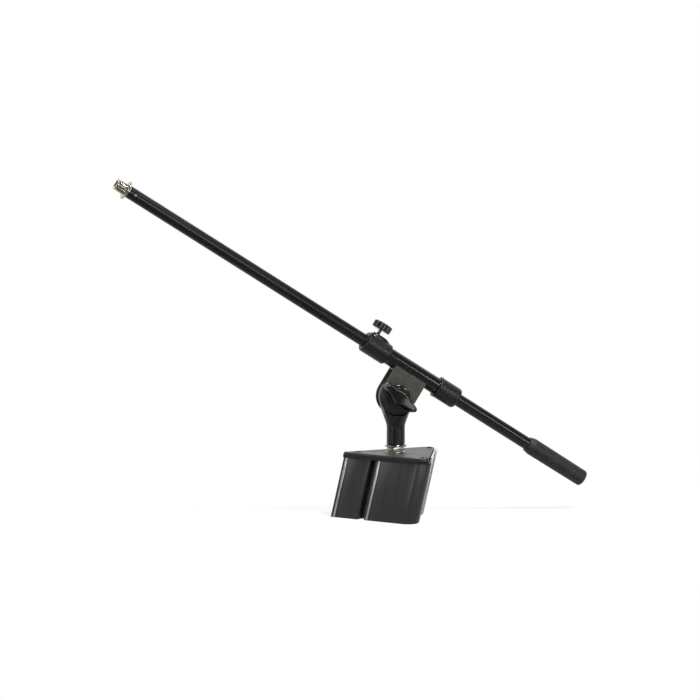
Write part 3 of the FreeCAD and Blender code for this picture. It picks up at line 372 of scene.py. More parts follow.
def turned(name, profile, place, segments=96, closed=False, ease=0.3 * MM, shape=None):
    """Spins (radius, height) points about the z axis of a local frame.

    An open profile starts and ends on the axis. shape(radius, height, angle) may alter radius.
    """
    line = eased_profile(profile, ease, closed) if ease else [Vector(p) for p in profile]
    verts, rings, faces = [], [], []
    for radius, height in line:
        if radius < 1e-7:
            rings.append([len(verts)])
            verts.append(place @ Vector((0, 0, height)))
            continue
        ring = []
        for step in range(segments):
            angle = 2 * math.pi * step / segments
            out = shape(radius, height, angle) if shape else radius
            ring.append(len(verts))
            verts.append(place @ Vector((out * math.cos(angle), out * math.sin(angle), height)))
        rings.append(ring)
    for lower, upper in zip(rings, rings[1:] + (rings[:1] if closed else [])):
        for step in range(segments):
            turn = (step + 1) % segments
            corners = [lower[step % len(lower)], lower[turn % len(lower)],
                       upper[turn % len(upper)], upper[step % len(upper)]]
            unique = list(dict.fromkeys(corners))
            if len(unique) > 2:
                faces.append(unique)
    piece = new_piece(name, verts, faces)
    face_outwards(piece.data)
    smooth(piece)
    return piece


SHARP = math.radians(25)        # edges sharper than this are broken
FLAT = math.radians(0.5)        # faces closer than this are one face


def eased_copy(node, name, width):
    """The frame's part again, merged, with its sharp edges broken by width."""
    piece = bpy.data.objects.new(name, NODES[node].data.copy())
    bpy.context.scene.collection.objects.link(piece)
    shape = bmesh.new()
    shape.from_mesh(piece.data)
    bmesh.ops.remove_doubles(shape, verts=shape.verts, dist=2e-6)
    bmesh.ops.dissolve_limit(shape, angle_limit=FLAT, verts=shape.verts, edges=shape.edges)
    shape.to_mesh(piece.data)
    shape.free()
    edge = piece.modifiers.new("edge", "BEVEL")
    edge.width = width
    edge.segments = 2
    edge.limit_method = "ANGLE"
    edge.angle_limit = SHARP
    applied(piece)
    smooth(piece, 30)
    return piece


def cast_together(name, parts, voxel, rounds):
    """Melts closed forms into one moulded skin with soft inside corners."""
    skin = parts[0]
    skin.name = name
    shape = bmesh.new()
    for part in parts:
        shape.from_mesh(part.data)
    shape.to_mesh(skin.data)
    shape.free()
    for part in parts[1:]:
        bpy.data.objects.remove(part)
    melt = skin.modifiers.new("melt", "REMESH")
    melt.mode = "VOXEL"
    melt.voxel_size = voxel
    melt.use_smooth_shade = True
    soften = skin.modifiers.new("soften", "SMOOTH")
    soften.factor = 0.5
    soften.iterations = rounds
    applied(skin)
    skin.data.shade_smooth()
    return skin


def finish(piece, body, material, slot, *nodes):
    """Gives a piece its finish, the body it moves with, and the parts it stands for."""
    piece.data.materials.clear()
    piece.data.materials.append(material)
    for polygon in piece.data.polygons:
        polygon.material_index = 0
    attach(piece, body)
    if nodes:
        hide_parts(*nodes)
    print("%-22s %6d faces on %s" % (piece.name, len(piece.data.polygons), body))


# %% [markdown]
# ## Camera, floor and light
# A catalogue view is taken from far away with a long lens, so the boom hardly tapers. A black
# object on white is drawn by what it reflects, so every lamp has one line to make. A small key
# high on the right draws the upper line on the tubes and lights the plate. A long lamp, rolled to
# the boom's slope, draws the line along its middle. Upright strips to the left and right draw the
# neck and the column's sides. Glossy surfaces see the white sweep only behind the object, which
# whitens their outlines, and a dark room in front, which keeps them black.

# %% Camera
AZIMUTH = math.radians(-17)
ELEVATION = math.radians(6)
DISTANCE = 5.2
LENS = 200.5
AIM_LEFT = 61.1 * MM
AIM_UP = 61.3 * MM
back = Vector((math.sin(AZIMUTH) * math.cos(ELEVATION), -math.cos(AZIMUTH) * math.cos(ELEVATION),
               math.sin(ELEVATION)))
right = Vector((math.cos(AZIMUTH), math.sin(AZIMUTH), 0))
up = back.cross(right)
aim = TILT_AXIS - right * AIM_LEFT + up * AIM_UP
camera = bpy.data.objects.new("camera", bpy.data.cameras.new("camera"))
camera.matrix_world = Matrix.Translation(aim + back * DISTANCE) @ Matrix(
    (right, up, back)).transposed().to_4x4()
camera.data.lens = LENS
camera.data.clip_end = 100
bpy.context.scene.collection.objects.link(camera)
bpy.context.scene.camera = camera
bpy.context.scene.view_settings.view_transform = "Standard"
level_view = (-back.x, -back.y, 0)
print("camera %.1f m away, aimed %.0f mm above the cut face" % (DISTANCE, aim.z / MM))

# %% Floor
HALF = 14.0
floor_mesh = bpy.data.meshes.new("floor")
floor_mesh.from_pydata([(x * HALF, y * HALF, 0) for x, y in ((-1, -1), (1, -1), (1, 1), (-1, 1))],
                       [], [(0, 1, 2, 3)])
floor = bpy.data.objects.new("floor", floor_mesh)
bpy.context.scene.collection.objects.link(floor)
floor_paint, tree = new_material("white sweep")
seen = add(tree, "ShaderNodeLightPath")
matt = add(tree, "ShaderNodeBsdfDiffuse", {"Color": colour("#F2F2F2")})
glow = add(tree, "ShaderNodeEmission", {"Color": WHITE, "Strength": 1.0})
spot = add(tree, "ShaderNodeTexCoord")
# The floor glows white to the camera, a little less under the object, where its shadow falls.
away = add(tree, "ShaderNodeVectorMath", {0: spot.outputs["Object"]}, operation="LENGTH")
fade = soft_step(tree, away.outputs["Value"], 0.12, 0.8, 0.86, 1.0)
share = add(tree, "ShaderNodeMath", {
    0: seen.outputs["Is Camera Ray"], 1: fade.outputs["Result"]}, operation="MULTIPLY")
shaded = add(tree, "ShaderNodeMixShader", {
    0: share.outputs[0], 1: matt.outputs[0], 2: glow.outputs[0]})
# In reflections it is dark in front of the object and bright behind it.
depth = add(tree, "ShaderNodeVectorMath", {0: spot.outputs["Object"], 1: level_view},
            operation="DOT_PRODUCT")
deep = soft_step(tree, depth.outputs["Value"], -0.5, 0.5, 0.1, 0.85)
mirrored = add(tree, "ShaderNodeEmission", {"Color": WHITE, "Strength": deep.outputs["Result"]})
blend = add(tree, "ShaderNodeMixShader", {
    0: seen.outputs["Is Glossy Ray"], 1: shaded.outputs[0], 2: mirrored.outputs[0]})
add(tree, "ShaderNodeOutputMaterial", {"Surface": blend.outputs[0]})
floor_mesh.materials.append(floor_paint)
print("floor laid")

# %% World and lamps
world = bpy.data.worlds.new("studio")
bpy.context.scene.world = world
world.use_nodes = True
tree = world.node_tree
tree.nodes.clear()
seen = add(tree, "ShaderNodeLightPath")
direct = add(tree, "ShaderNodeMath", {
    0: seen.outputs["Is Camera Ray"], 1: seen.outputs["Is Transmission Ray"]},
    operation="MAXIMUM")
sky = add(tree, "ShaderNodeTexCoord")
behind = add(tree, "ShaderNodeVectorMath", {0: sky.outputs["Generated"], 1: level_view},
             operation="DOT_PRODUCT")
sweep = soft_step(tree, behind.outputs["Value"], 0.1, 0.75, 0.05, 0.9)
fill, room, white = [
    add(tree, "ShaderNodeBackground", {"Color": WHITE, "Strength": strength})
    for strength in (0.06, sweep.outputs["Result"], 1.0)]
gloss = add(tree, "ShaderNodeMixShader", {
    0: seen.outputs["Is Glossy Ray"], 1: fill.outputs[0], 2: room.outputs[0]})
both = add(tree, "ShaderNodeMixShader", {
    0: direct.outputs[0], 1: gloss.outputs[0], 2: white.outputs[0]})
add(tree, "ShaderNodeOutputWorld", {"Surface": both.outputs[0]})


def softbox(name, size, azimuth, elevation, distance, power, roll=0):
    """Lamp aimed at the tilt axis; angles in degrees but roll, azimuth 0 at the camera."""
    turn, rise = AZIMUTH + math.radians(azimuth), math.radians(elevation)
    way = Vector((math.sin(turn) * math.cos(rise), -math.cos(turn) * math.cos(rise),
                  math.sin(rise)))
    lamp = bpy.data.lights.new(name, "AREA")
    lamp.shape = "RECTANGLE"
    lamp.size, lamp.size_y = size
    lamp.energy = power
    piece = bpy.data.objects.new(name, lamp)
    piece.matrix_world = axis_frame(TILT_AXIS + way * distance, way, (-way.y, way.x, 0))
    piece.matrix_world = piece.matrix_world @ Matrix.Rotation(roll, 4, "Z")
    bpy.context.scene.collection.objects.link(piece)


softbox("key", (0.75, 0.36), 46, 61, 2.4, 78)
softbox("boom strip", (2.6, 0.9), 10, 18, 2.4, 19, roll=BOOM_ANGLE)
softbox("left strip", (0.30, 0.9), -50, 6, 2.2, 7)
softbox("left panel", (0.9, 0.9), -106, 14, 2.2, 11)
softbox("right strip", (0.24, 0.9), 54, 5, 2.2, 6)
softbox("back strip", (1.2, 0.8), 176, 40, 2.4, 12)
print("world and six softboxes")

# %% [markdown]
# ## The boom
# The rod is drawn steel tube, baked black. One end is plugged with a threaded nickel adapter,
# the other wears a moulded grip. All of it is turned work, so each piece is a profile spun
# about the boom's axis, with the corners eased by a few tenths of a millimetre.

# %% Rod and grip
rod_start, rod_end, rod_radius = along_axis("boom_rod", BOOM)
ROD_WALL = 1.5 * MM
rod = turned("boom_tube", [
    (rod_radius - ROD_WALL, rod_start), (rod_radius, rod_start),
    (rod_radius, rod_end), (rod_radius - ROD_WALL, rod_end)], BOOM, closed=True)
finish(rod, "boom", tube_enamel, "tube_black", "boom_rod")

grip_start, grip_end, grip_radius = along_axis("boom_grip", BOOM)
NOSE_RADIUS = 10.2 * MM
TAIL_RADIUS = 11.1 * MM
grip = turned("grip_cover", [
    (0, grip_end - 0.1 * MM), (TAIL_RADIUS * 0.45, grip_end - 0.25 * MM),
    (TAIL_RADIUS - 1.7 * MM, grip_end - 1.0 * MM), (TAIL_RADIUS, grip_end - 2.6 * MM),
    (grip_radius, grip_start + 8 * MM), (NOSE_RADIUS, grip_start + 0.9 * MM),
    (NOSE_RADIUS - 1.0 * MM, grip_start), (rod_radius, grip_start),
    (rod_radius, rod_end), (0, rod_end)], BOOM, ease=0.9 * MM)
finish(grip, "boom", rubber, "grip_rubber", "boom_grip")

# %% [markdown]
# ### Threads
# A thread is the same ridge repeated at a fixed pitch, so it is a Geometry Nodes job: a spiral
# as the path, a small diamond as the section, and half of each diamond buried in a core of the
# thread's middle diameter. The pitch is a named input, because the microphone end and the
# thumb screw differ only in size.

# %% Thread tree
def node_tree(name, inputs):
    """A geometry tree with named inputs and the identifiers of its sockets."""
    group = bpy.data.node_groups.new(name, "GeometryNodeTree")
    keys = {}
    for label, kind, value in inputs:
        socket = group.interface.new_socket(label, in_out="INPUT", socket_type=kind)
        if value is not None:
            socket.default_value = value
        keys[label] = socket.identifier
    group.interface.new_socket("Geometry", in_out="OUTPUT", socket_type="NodeSocketGeometry")
    return group, keys, add(group, "NodeGroupInput")


def end_tree(group, geometry, given):
    """Realize Instances and Set Material, then the output."""
    real = add(group, "GeometryNodeRealizeInstances", {"Geometry": geometry})
    painted = add(group, "GeometryNodeSetMaterial", {
        "Geometry": real.outputs["Geometry"], "Material": given.outputs["Material"]})
    add(group, "NodeGroupOutput", {"Geometry": painted.outputs["Geometry"]})


def grown(name, group, keys, values, place):
    """Runs a tree on an empty mesh, and leaves its result as a plain mesh in a local frame."""
    piece = new_piece(name, values.pop("points", []), [])
    modifier = piece.modifiers.new(name, "NODES")
    modifier.node_group = group
    for label, value in values.items():
        modifier[keys[label]] = value
    applied(piece)
    piece.data.transform(place)
    return piece


thread_group, thread_keys, given = node_tree("thread", [
    ("Outer Radius", "NodeSocketFloat", 0.008), ("Pitch", "NodeSocketFloat", 0.001),
    ("Turns", "NodeSocketFloat", 10.0), ("Material", "NodeSocketMaterial", None)])
half_pitch = add(thread_group, "ShaderNodeMath", {0: given.outputs["Pitch"], 1: 0.5},
                 operation="MULTIPLY")
middle = add(thread_group, "ShaderNodeMath", {
    0: given.outputs["Outer Radius"], 1: half_pitch.outputs[0]}, operation="SUBTRACT")
height = add(thread_group, "ShaderNodeMath", {
    0: given.outputs["Pitch"], 1: given.outputs["Turns"]}, operation="MULTIPLY")
spiral = add(thread_group, "GeometryNodeCurveSpiral", {
    "Resolution": 48, "Rotations": given.outputs["Turns"], "Start Radius": middle.outputs[0],
    "End Radius": middle.outputs[0], "Height": height.outputs[0]})
upright = add(thread_group, "GeometryNodeSetCurveNormal", {"Curve": spiral.outputs["Curve"]},
              mode="Z_UP")
diamond = add(thread_group, "GeometryNodeCurvePrimitiveCircle", {
    "Resolution": 4, "Radius": half_pitch.outputs[0]})
ridge = add(thread_group, "GeometryNodeCurveToMesh", {
    "Curve": upright.outputs["Curve"], "Profile Curve": diamond.outputs["Curve"],
    "Fill Caps": True})
end_tree(thread_group, ridge.outputs["Mesh"], given)
print("thread tree with inputs", ", ".join(thread_keys))

# %% Microphone end
MIC_PITCH = 25.4 / 27 * MM
tip_start, plug_end, thread_radius = along_axis("mic_adapter", BOOM)
MIC_BORE = 4.8 * MM
BORE_DEPTH = 12 * MM
LEAD_IN = 2.6 * MM
RELIEF = 1.2 * MM
core = thread_radius - MIC_PITCH / 2
plug_radius = rod_radius - ROD_WALL
tip_face = tip_start + 0.15 * MM
adapter = turned("mic_thread_core", [
    (0, tip_start + BORE_DEPTH), (MIC_BORE, tip_start + BORE_DEPTH), (MIC_BORE, tip_face),
    (thread_radius - 0.7 * MM, tip_face), (thread_radius - 0.1 * MM, tip_start + 0.9 * MM),
    (thread_radius - 0.1 * MM, tip_start + LEAD_IN), (core, tip_start + LEAD_IN + 0.4 * MM),
    (core, rod_start - RELIEF), (core - 0.2 * MM, rod_start - RELIEF + 0.1 * MM),
    (core - 0.2 * MM, rod_start - 0.05 * MM), (plug_radius, rod_start),
    (plug_radius, plug_end), (0, plug_end)], BOOM, ease=0.2 * MM)
finish(adapter, "boom", nickel_sloping, "nickel", "mic_adapter")
turns = (rod_start - RELIEF - tip_start - LEAD_IN) / MIC_PITCH - 0.6
thread = grown("mic_thread", thread_group, thread_keys, {
    "Outer Radius": thread_radius, "Pitch": MIC_PITCH, "Turns": turns, "Material": nickel_sloping},
    BOOM @ Matrix.Translation((0, 0, tip_start + LEAD_IN + MIC_PITCH / 2)))
finish(thread, "boom", nickel_sloping, "nickel")

# %% [markdown]
# ### Lock rings
# The thin nickel rings that jam the threads have a straight-knurled edge for the fingers. The
# plate is turned, and the ribs are one small round bar repeated round a circle, so a tree
# places them and only the count and the size change from ring to ring.

# %% Knurl tree and rings
knurl_group, knurl_keys, given = node_tree("knurl", [
    ("Circle Radius", "NodeSocketFloat", 0.013), ("Ribs", "NodeSocketInt", 48),
    ("Rib Radius", "NodeSocketFloat", 0.0006), ("Rib Length", "NodeSocketFloat", 0.002),
    ("Material", "NodeSocketMaterial", None)])
circle = add(knurl_group, "GeometryNodeCurvePrimitiveCircle", {
    "Resolution": given.outputs["Ribs"], "Radius": given.outputs["Circle Radius"]})
points = add(knurl_group, "GeometryNodeCurveToPoints", {
    "Curve": circle.outputs["Curve"]}, mode="EVALUATED")
rib = add(knurl_group, "GeometryNodeMeshCylinder", {
    "Vertices": 8, "Radius": given.outputs["Rib Radius"], "Depth": given.outputs["Rib Length"]})
ribs = add(knurl_group, "GeometryNodeInstanceOnPoints", {
    "Points": points.outputs["Points"], "Instance": rib.outputs["Mesh"]})
end_tree(knurl_group, ribs.outputs["Instances"], given)


def lock_ring(name, node, place, body, material):
    """Thin threaded ring: turned plate, bored for its thread, with a knurled edge."""
    low, high, radius = along_axis(node, place)
    rib_radius = 0.55 * MM
    inner = thread_radius + 0.05 * MM
    edge = radius - rib_radius * 0.7
    plate = turned(name, [(inner, low), (edge - 0.5 * MM, low), (edge, low + 0.5 * MM),
                          (edge, high - 0.5 * MM), (edge - 0.5 * MM, high), (inner, high)],
                   place, closed=True, ease=0.15 * MM)
    finish(plate, body, material, "nickel", node)
    count = int(2 * math.pi * radius / (rib_radius * 2.6))
    knurl = grown(name + "_knurl", knurl_group, knurl_keys, {
        "Circle Radius": radius - rib_radius, "Ribs": count, "Rib Radius": rib_radius,
        "Rib Length": (high - low) - 0.9 * MM, "Material": material},
        place @ Matrix.Translation((0, 0, (low + high) / 2)))
    finish(knurl, body, material, "nickel")
    return count


ribs_up = lock_ring("mic_ring", "upper_lock_ring", BOOM, "upper_ring", nickel_sloping)
ribs_low = lock_ring("neck_ring", "lower_lock_ring", STUD, "lower_ring", nickel_upright)
print("lock rings with", ribs_up, "and", ribs_low, "ribs")

# %% [markdown]
# ## The clamp
# A steel sleeve carries the rod in two nylon collars. The front collar has a mound for the
# thumb screw, which flows out of the round: it is a turned collar whose radius is pushed out
# by a smooth hill near the screw, so there is no seam between boss and collar.

# %% Sleeve and collars
SLEEVE_WALL = 1.5 * MM
sleeve_start, sleeve_end, sleeve_radius = along_axis("boom_sleeve", BOOM)
sleeve = turned("clamp_sleeve", [
    (sleeve_radius - SLEEVE_WALL, sleeve_start), (sleeve_radius, sleeve_start),
    (sleeve_radius, sleeve_end), (sleeve_radius - SLEEVE_WALL, sleeve_end)], BOOM, closed=True)
finish(sleeve, "clamp", sleeve_enamel, "tube_black", "boom_sleeve")

front_start, front_end, collar_radius = along_axis("front_collar", BOOM)
COLLAR_BORE = 9.1 * MM
BOSS_FLAT = 5.4 * MM        # the hill's flat top reaches this far from the screw
BOSS_SLOPE = 4.4 * MM       # and its slope is this long
RUN_OFF = 0.42              # behind the screw, lengths count this much, so the hill is longer
screw_place = (BOOM.inverted() @ Vector(JOINTS["thumb_turn"]["pos_m"])).z
boss_top = measured("front_collar", BOOM)[1].x


def boss_hill(radius, height, angle):
    """Pushes the collar's outside out to the boss, and lets it run off behind like a drop."""
    if radius < collar_radius - 2.5 * MM:
        return radius
    swing = (angle + math.pi) % (2 * math.pi) - math.pi
    behind = max(height - screw_place, 0)
    away = math.hypot(min(height - screw_place, 0) + behind * RUN_OFF, swing * collar_radius)
    t = min(max((away - BOSS_FLAT) / BOSS_SLOPE, 0), 1)
    lift = (1 - t) ** 2 * (1 + 2 * t)
    top = min((boss_top - 0.1 * MM) / max(math.cos(swing), 0.6), boss_top * 1.04)
    return radius + (top - collar_radius) * lift


FRONT_BEVEL = 2.0 * MM
REAR_BEVEL = 1.2 * MM
ROWS = 40
rows = [(collar_radius, front_start + FRONT_BEVEL
         + (front_end - front_start - FRONT_BEVEL - REAR_BEVEL) * row / ROWS)
        for row in range(ROWS)]
front_profile = [
    (COLLAR_BORE, front_start), (collar_radius - FRONT_BEVEL, front_start)] + rows + [
    (collar_radius, front_end - REAR_BEVEL), (collar_radius - REAR_BEVEL, front_end),
    (sleeve_radius, front_end), (sleeve_radius, sleeve_start), (COLLAR_BORE, sleeve_start)]
collar = turned("collar_front", front_profile, BOOM, segments=144, closed=True, ease=0.25 * MM,
                shape=boss_hill)
finish(collar, "clamp", nylon, "collar_black", "front_collar")

rear_start, rear_end, rim_radius = along_axis("rear_collar", BOOM)
rear_radius = rim_radius - 0.5 * MM
rear = turned("collar_rear", [
    (sleeve_radius, rear_start), (rim_radius - 0.6 * MM, rear_start),
    (rim_radius, rear_start + 0.6 * MM), (rim_radius, rear_start + 2.5 * MM),
    (rear_radius, rear_start + 3.0 * MM), (rear_radius, rear_end - 3.0 * MM),
    (rear_radius - 0.9 * MM, rear_end - 0.9 * MM), (rear_radius - 3.0 * MM, rear_end),
    (COLLAR_BORE, rear_end), (COLLAR_BORE, sleeve_end), (sleeve_radius, sleeve_end)], BOOM,
    closed=True,
    ease=0.7 * MM)
finish(rear, "clamp", nylon, "collar_black", "rear_collar")

# %% [markdown]
# ### Thumb screw
# The knob is a domed disc with scallops for the fingers. Scallops are a rule, not a list, so
# the turned disc's radius is drawn in by a round bite ten times per turn.

# %% Thumb knob and its screw
knob_low, knob_high, knob_radius = along_axis("thumb_knob", THUMB)
screw_low, screw_high, screw_radius = along_axis("thumb_screw", THUMB)
FLUTES = 10
FLUTE_DEPTH = 1.25 * MM


def scallop(radius, height, angle):
    """Shallow round bites, fading out towards the middle of the dome."""
    share = min(max((radius / knob_radius - 0.45) / 0.4, 0), 1)
    wave = 0.5 + 0.5 * math.cos(FLUTES * angle)
    return radius - FLUTE_DEPTH * share * wave ** 3


DOME = 2.2 * MM
dome = [(knob_radius * math.cos(rise), knob_high - DOME + DOME * math.sin(rise))
        for rise in [math.radians(angle) for angle in (12, 24, 36, 48, 60, 72, 81)]]
knob = turned("thumb_grip", [
    (0, screw_high), (screw_radius, screw_high), (screw_radius, knob_low),
    (knob_radius - 1.2 * MM, knob_low), (knob_radius, knob_low + 1.0 * MM),
    (knob_radius, knob_high - DOME)] + dome + [(0, knob_high)],
    THUMB, segments=240, ease=0.5 * MM, shape=scallop)
finish(knob, "thumb", knob_plastic, "knob_black", "thumb_knob")

SCREW_PITCH = 0.8 * MM
screw_core = screw_radius - SCREW_PITCH / 2
screw = turned("thumb_screw_core", [
    (0, screw_low), (screw_core - 0.3 * MM, screw_low), (screw_core, screw_low + 0.3 * MM),
    (screw_core, screw_high), (0, screw_high)], THUMB, segments=48, ease=0.1 * MM)
finish(screw, "thumb", zinc, "zinc_steel", "thumb_screw")
turns = (knob_low - screw_low) / SCREW_PITCH - 1.6
thread = grown("thumb_screw_thread", thread_group, thread_keys, {
    "Outer Radius": screw_radius, "Pitch": SCREW_PITCH, "Turns": turns, "Material": zinc},
    THUMB @ Matrix.Translation((0, 0, screw_low + SCREW_PITCH)))
finish(thread, "thumb", zinc, "zinc_steel")

# %% [markdown]
# ### Roll pin
# A slit steel tube, driven through rod and adapter, keeps the threaded end from turning. Only
# its two ends show, as small rings in the enamel.

# %% Roll pin
pin_low, pin_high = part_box("adapter_pin")
pin_middle = (Vector(pin_low) + Vector(pin_high)) / 2
PIN = axis_frame(pin_middle, (0, 1, 0), (1, 0, 0))
PIN_RADIUS = 1.5 * MM
PIN_WALL = 0.6 * MM
pin_reach = rod_radius + 0.05 * MM
pin = turned("roll_pin", [
    (PIN_RADIUS - PIN_WALL, -pin_reach), (PIN_RADIUS, -pin_reach),
    (PIN_RADIUS, pin_reach), (PIN_RADIUS - PIN_WALL, pin_reach)],
    PIN, segments=32, closed=True, ease=0.15 * MM)
finish(pin, "boom", zinc, "zinc_steel", "adapter_pin")

# %% [markdown]
# ## The tilt clutch
# Two ears of bent steel sheet hold a cast tongue between fibre discs, and a wing knob pulls
# them together. The casting is one form in the real thing: a round plate that swells into a
# shoulder and runs down into a tube. Here the plate and the turned neck are made apart, and
# then melted into one skin, which rounds the inside corners as the mould does.

# %% Swivel casting
BOLT_BORE = 4.05 * MM
STUD_BORE = 9.75 * MM
CORE_BORE = 7 * MM
TONGUE = 7.0 * MM           # half of the tongue's thickness
TONGUE_RADIUS = 23.5 * MM
NECK_RADIUS = 12.2 * MM
FLARE_START = 25 * MM       # above the foot
FLARE_LENGTH = 13.5 * MM
FLARE_OUT = 4.3 * MM
FOOT = -65.0 * MM           # heights are from the tilt axis
SHOULDER = -26.5 * MM
NECK_TOP = -19 * MM
EAR_ROOM = 25.7 * MM
BEYOND = 30 * MM            # the cutter for the ears' room reaches past the neck


def block(name, corners, low, high, place):
    """Straight prism over a polygon in the local xy plane."""
    count = len(corners)
    verts = [place @ Vector((x, y, z)) for z in (low, high) for x, y in corners]
    faces = [list(range(count))[::-1], list(range(count, 2 * count))]
    faces += [[i, (i + 1) % count, (i + 1) % count + count, i + count] for i in range(count)]
    piece = new_piece(name, verts, faces)
    face_outwards(piece.data)
    return piece


flare = [(NECK_RADIUS + FLARE_OUT * t ** 1.25, FOOT + FLARE_START + FLARE_LENGTH * t)
         for t in [step / 10 for step in range(11)]]
neck = turned("neck", [
    (0, FOOT + 28 * MM), (CORE_BORE, FOOT + 28 * MM), (CORE_BORE, FOOT + 20 * MM),
    (STUD_BORE, FOOT + 20 * MM), (STUD_BORE, FOOT), (NECK_RADIUS - 0.8 * MM, FOOT),
    (NECK_RADIUS, FOOT + 0.8 * MM)] + flare + [
    (17.3 * MM, -22 * MM), (17.4 * MM, NECK_TOP), (0, NECK_TOP)],
    PIVOT, segments=120, ease=0.15 * MM)
ear_room = turned("ear_room", [
    (0, -BEYOND), (EAR_ROOM, -BEYOND), (EAR_ROOM, BEYOND), (0, BEYOND)], AXLE, segments=160)
cut = neck.modifiers.new("room for the ears", "BOOLEAN")
cut.operation = "DIFFERENCE"
cut.object = ear_room
applied(neck)
bpy.data.objects.remove(ear_room)
RIM_BEVEL = 1.2 * MM
rim = TONGUE_RADIUS - RIM_BEVEL
disc = turned("disc", [
    (BOLT_BORE, -TONGUE), (rim, -TONGUE), (TONGUE_RADIUS, -TONGUE + RIM_BEVEL),
    (TONGUE_RADIUS, TONGUE - RIM_BEVEL), (rim, TONGUE), (BOLT_BORE, TONGUE)],
    AXLE, segments=160, closed=True, ease=0.5 * MM)
root = block("root", [(-14.4 * MM, SHOULDER - 2 * MM), (14.4 * MM, SHOULDER - 2 * MM),
                      (15.2 * MM, SHOULDER), (22.0 * MM, -8.2 * MM), (9 * MM, -12 * MM),
                      (-9 * MM, -12 * MM), (-22.0 * MM, -8.2 * MM), (-15.2 * MM, SHOULDER)],
             -TONGUE, TONGUE, AXLE)
casting = cast_together("swivel_skin", [neck, disc, root], 0.45 * MM, rounds=5)
finish(casting, "swivel", cast_enamel, "cast_black", "swivel_casting")

# %% [markdown]
# ### Wing knob
# The knob is a dished bar with a ridge along it, on a round hub and flange. Each wing's section
# is narrow at the front and wide at the back, so that a thumb can push on it. The bar is lofted
# through many such sections, and melted with the turned hub.

# %% Wing knob
wing_points = [AXLE.inverted() @ v.co for v in NODES["wing_knob"].data.vertices]
spread_xx = sum(p.x * p.x for p in wing_points)
spread_yy = sum(p.y * p.y for p in wing_points)
spread_xy = sum(p.x * p.y for p in wing_points)
wing_angle = 0.5 * math.atan2(2 * spread_xy, spread_xx - spread_yy)
WING = AXLE @ Matrix.Rotation(wing_angle, 4, "Z")
wing_low, wing_high = measured("wing_knob", WING)
WING_REACH = wing_high.x
WING_TIP = wing_high.z
WING_BACK = 17.6 * MM
FLANGE_RADIUS = 16 * MM
HUB_RADIUS = 11.5 * MM
INSERT_RADIUS = 5.9 * MM
ROUND_END = 0.16        # share of a wing's length over which its tip is rounded
print("wing knob turned %.0f degrees" % math.degrees(wing_angle))


def wing_section(along):
    """Closed section of the grip at a place along it: drafted sides and a rounded front."""
    share = abs(along) / WING_REACH
    end = math.sqrt(max(1 - max((share - 1 + ROUND_END) / ROUND_END, 0) ** 2, 0.0004))
    half = (3.2 * MM + 5.6 * MM * (1 - share) ** 1.2) * end
    back_half = half + 2.2 * MM * end
    front = WING_TIP - 2.6 * MM * (1 - share ** 2) ** 1.5
    front = WING_BACK + (front - WING_BACK) * (0.72 + 0.28 * end)
    rise = front - WING_BACK
    side = [(back_half, WING_BACK), (back_half - 0.2 * MM, WING_BACK + rise * 0.12),
            (half, front - min(1.7 * MM, rise * 0.3)), (half * 0.93, front - 0.6 * MM),
            (half * 0.72, front - 0.1 * MM)]
    return [(-y, z) for y, z in side] + [(0, front)] + side[::-1]


def loft(name, places, section, place):
    """Skin through sections that stand square to the local x axis."""
    verts, faces = [], []
    for x in places:
        verts += [place @ Vector((x, y, z)) for y, z in section(x)]
    count = len(section(places[0]))
    for i in range(len(places) - 1):
        for j in range(count):
            k = (j + 1) % count
            faces.append([i * count + j, i * count + k, (i + 1) * count + k, (i + 1) * count + j])
    faces.append(list(range(count)))
    last = (len(places) - 1) * count
    faces.append(list(range(last, last + count))[::-1])
    piece = new_piece(name, verts, faces)
    face_outwards(piece.data)
    return piece


STATIONS = 80
bar = loft("bar", [WING_REACH * (2 * step / STATIONS - 1) for step in range(STATIONS + 1)],
           wing_section, WING)
foot = wing_low.z
hub = turned("hub", [
    (0, foot + 1 * MM), (INSERT_RADIUS, foot + 1 * MM), (INSERT_RADIUS, foot),
    (FLANGE_RADIUS, foot), (FLANGE_RADIUS, foot + 2.2 * MM),
    (FLANGE_RADIUS - 0.8 * MM, foot + 2.8 * MM), (HUB_RADIUS + 0.6 * MM, foot + 3.6 * MM),
    (HUB_RADIUS, foot + 6.0 * MM), (HUB_RADIUS, 20.4 * MM),
    (HUB_RADIUS - 3.6 * MM, 23.1 * MM), (0, 24.0 * MM)], WING, segments=96, ease=0.3 * MM)
wing = cast_together("wing_grip", [hub, bar], 0.4 * MM, rounds=6)
finish(wing, "wing", knob_plastic, "knob_black", "wing_knob")

# %% [markdown]
# ### Bracket and bolt
# The bracket is laser-cut sheet, bent to a U and welded under the sleeve. Powder coat rounds its
# cut edges, so the frame's part is copied and its edges are broken by a third of a millimetre.

# %% Bracket, bolt and nut
for node, name, width, body, material, slot in (
        ("pivot_bracket", "ear_bracket", 0.35, "clamp", powder_coat, "bracket_grey"),
        ("pivot_bolt", "tilt_bolt", 0.25, "clamp", zinc, "zinc_steel"),
        ("stud_nut", "hex_body", 0.25, "column_head", nickel_upright, "nickel")):
    finish(eased_copy(node, name, width * MM), body, material, slot, node)
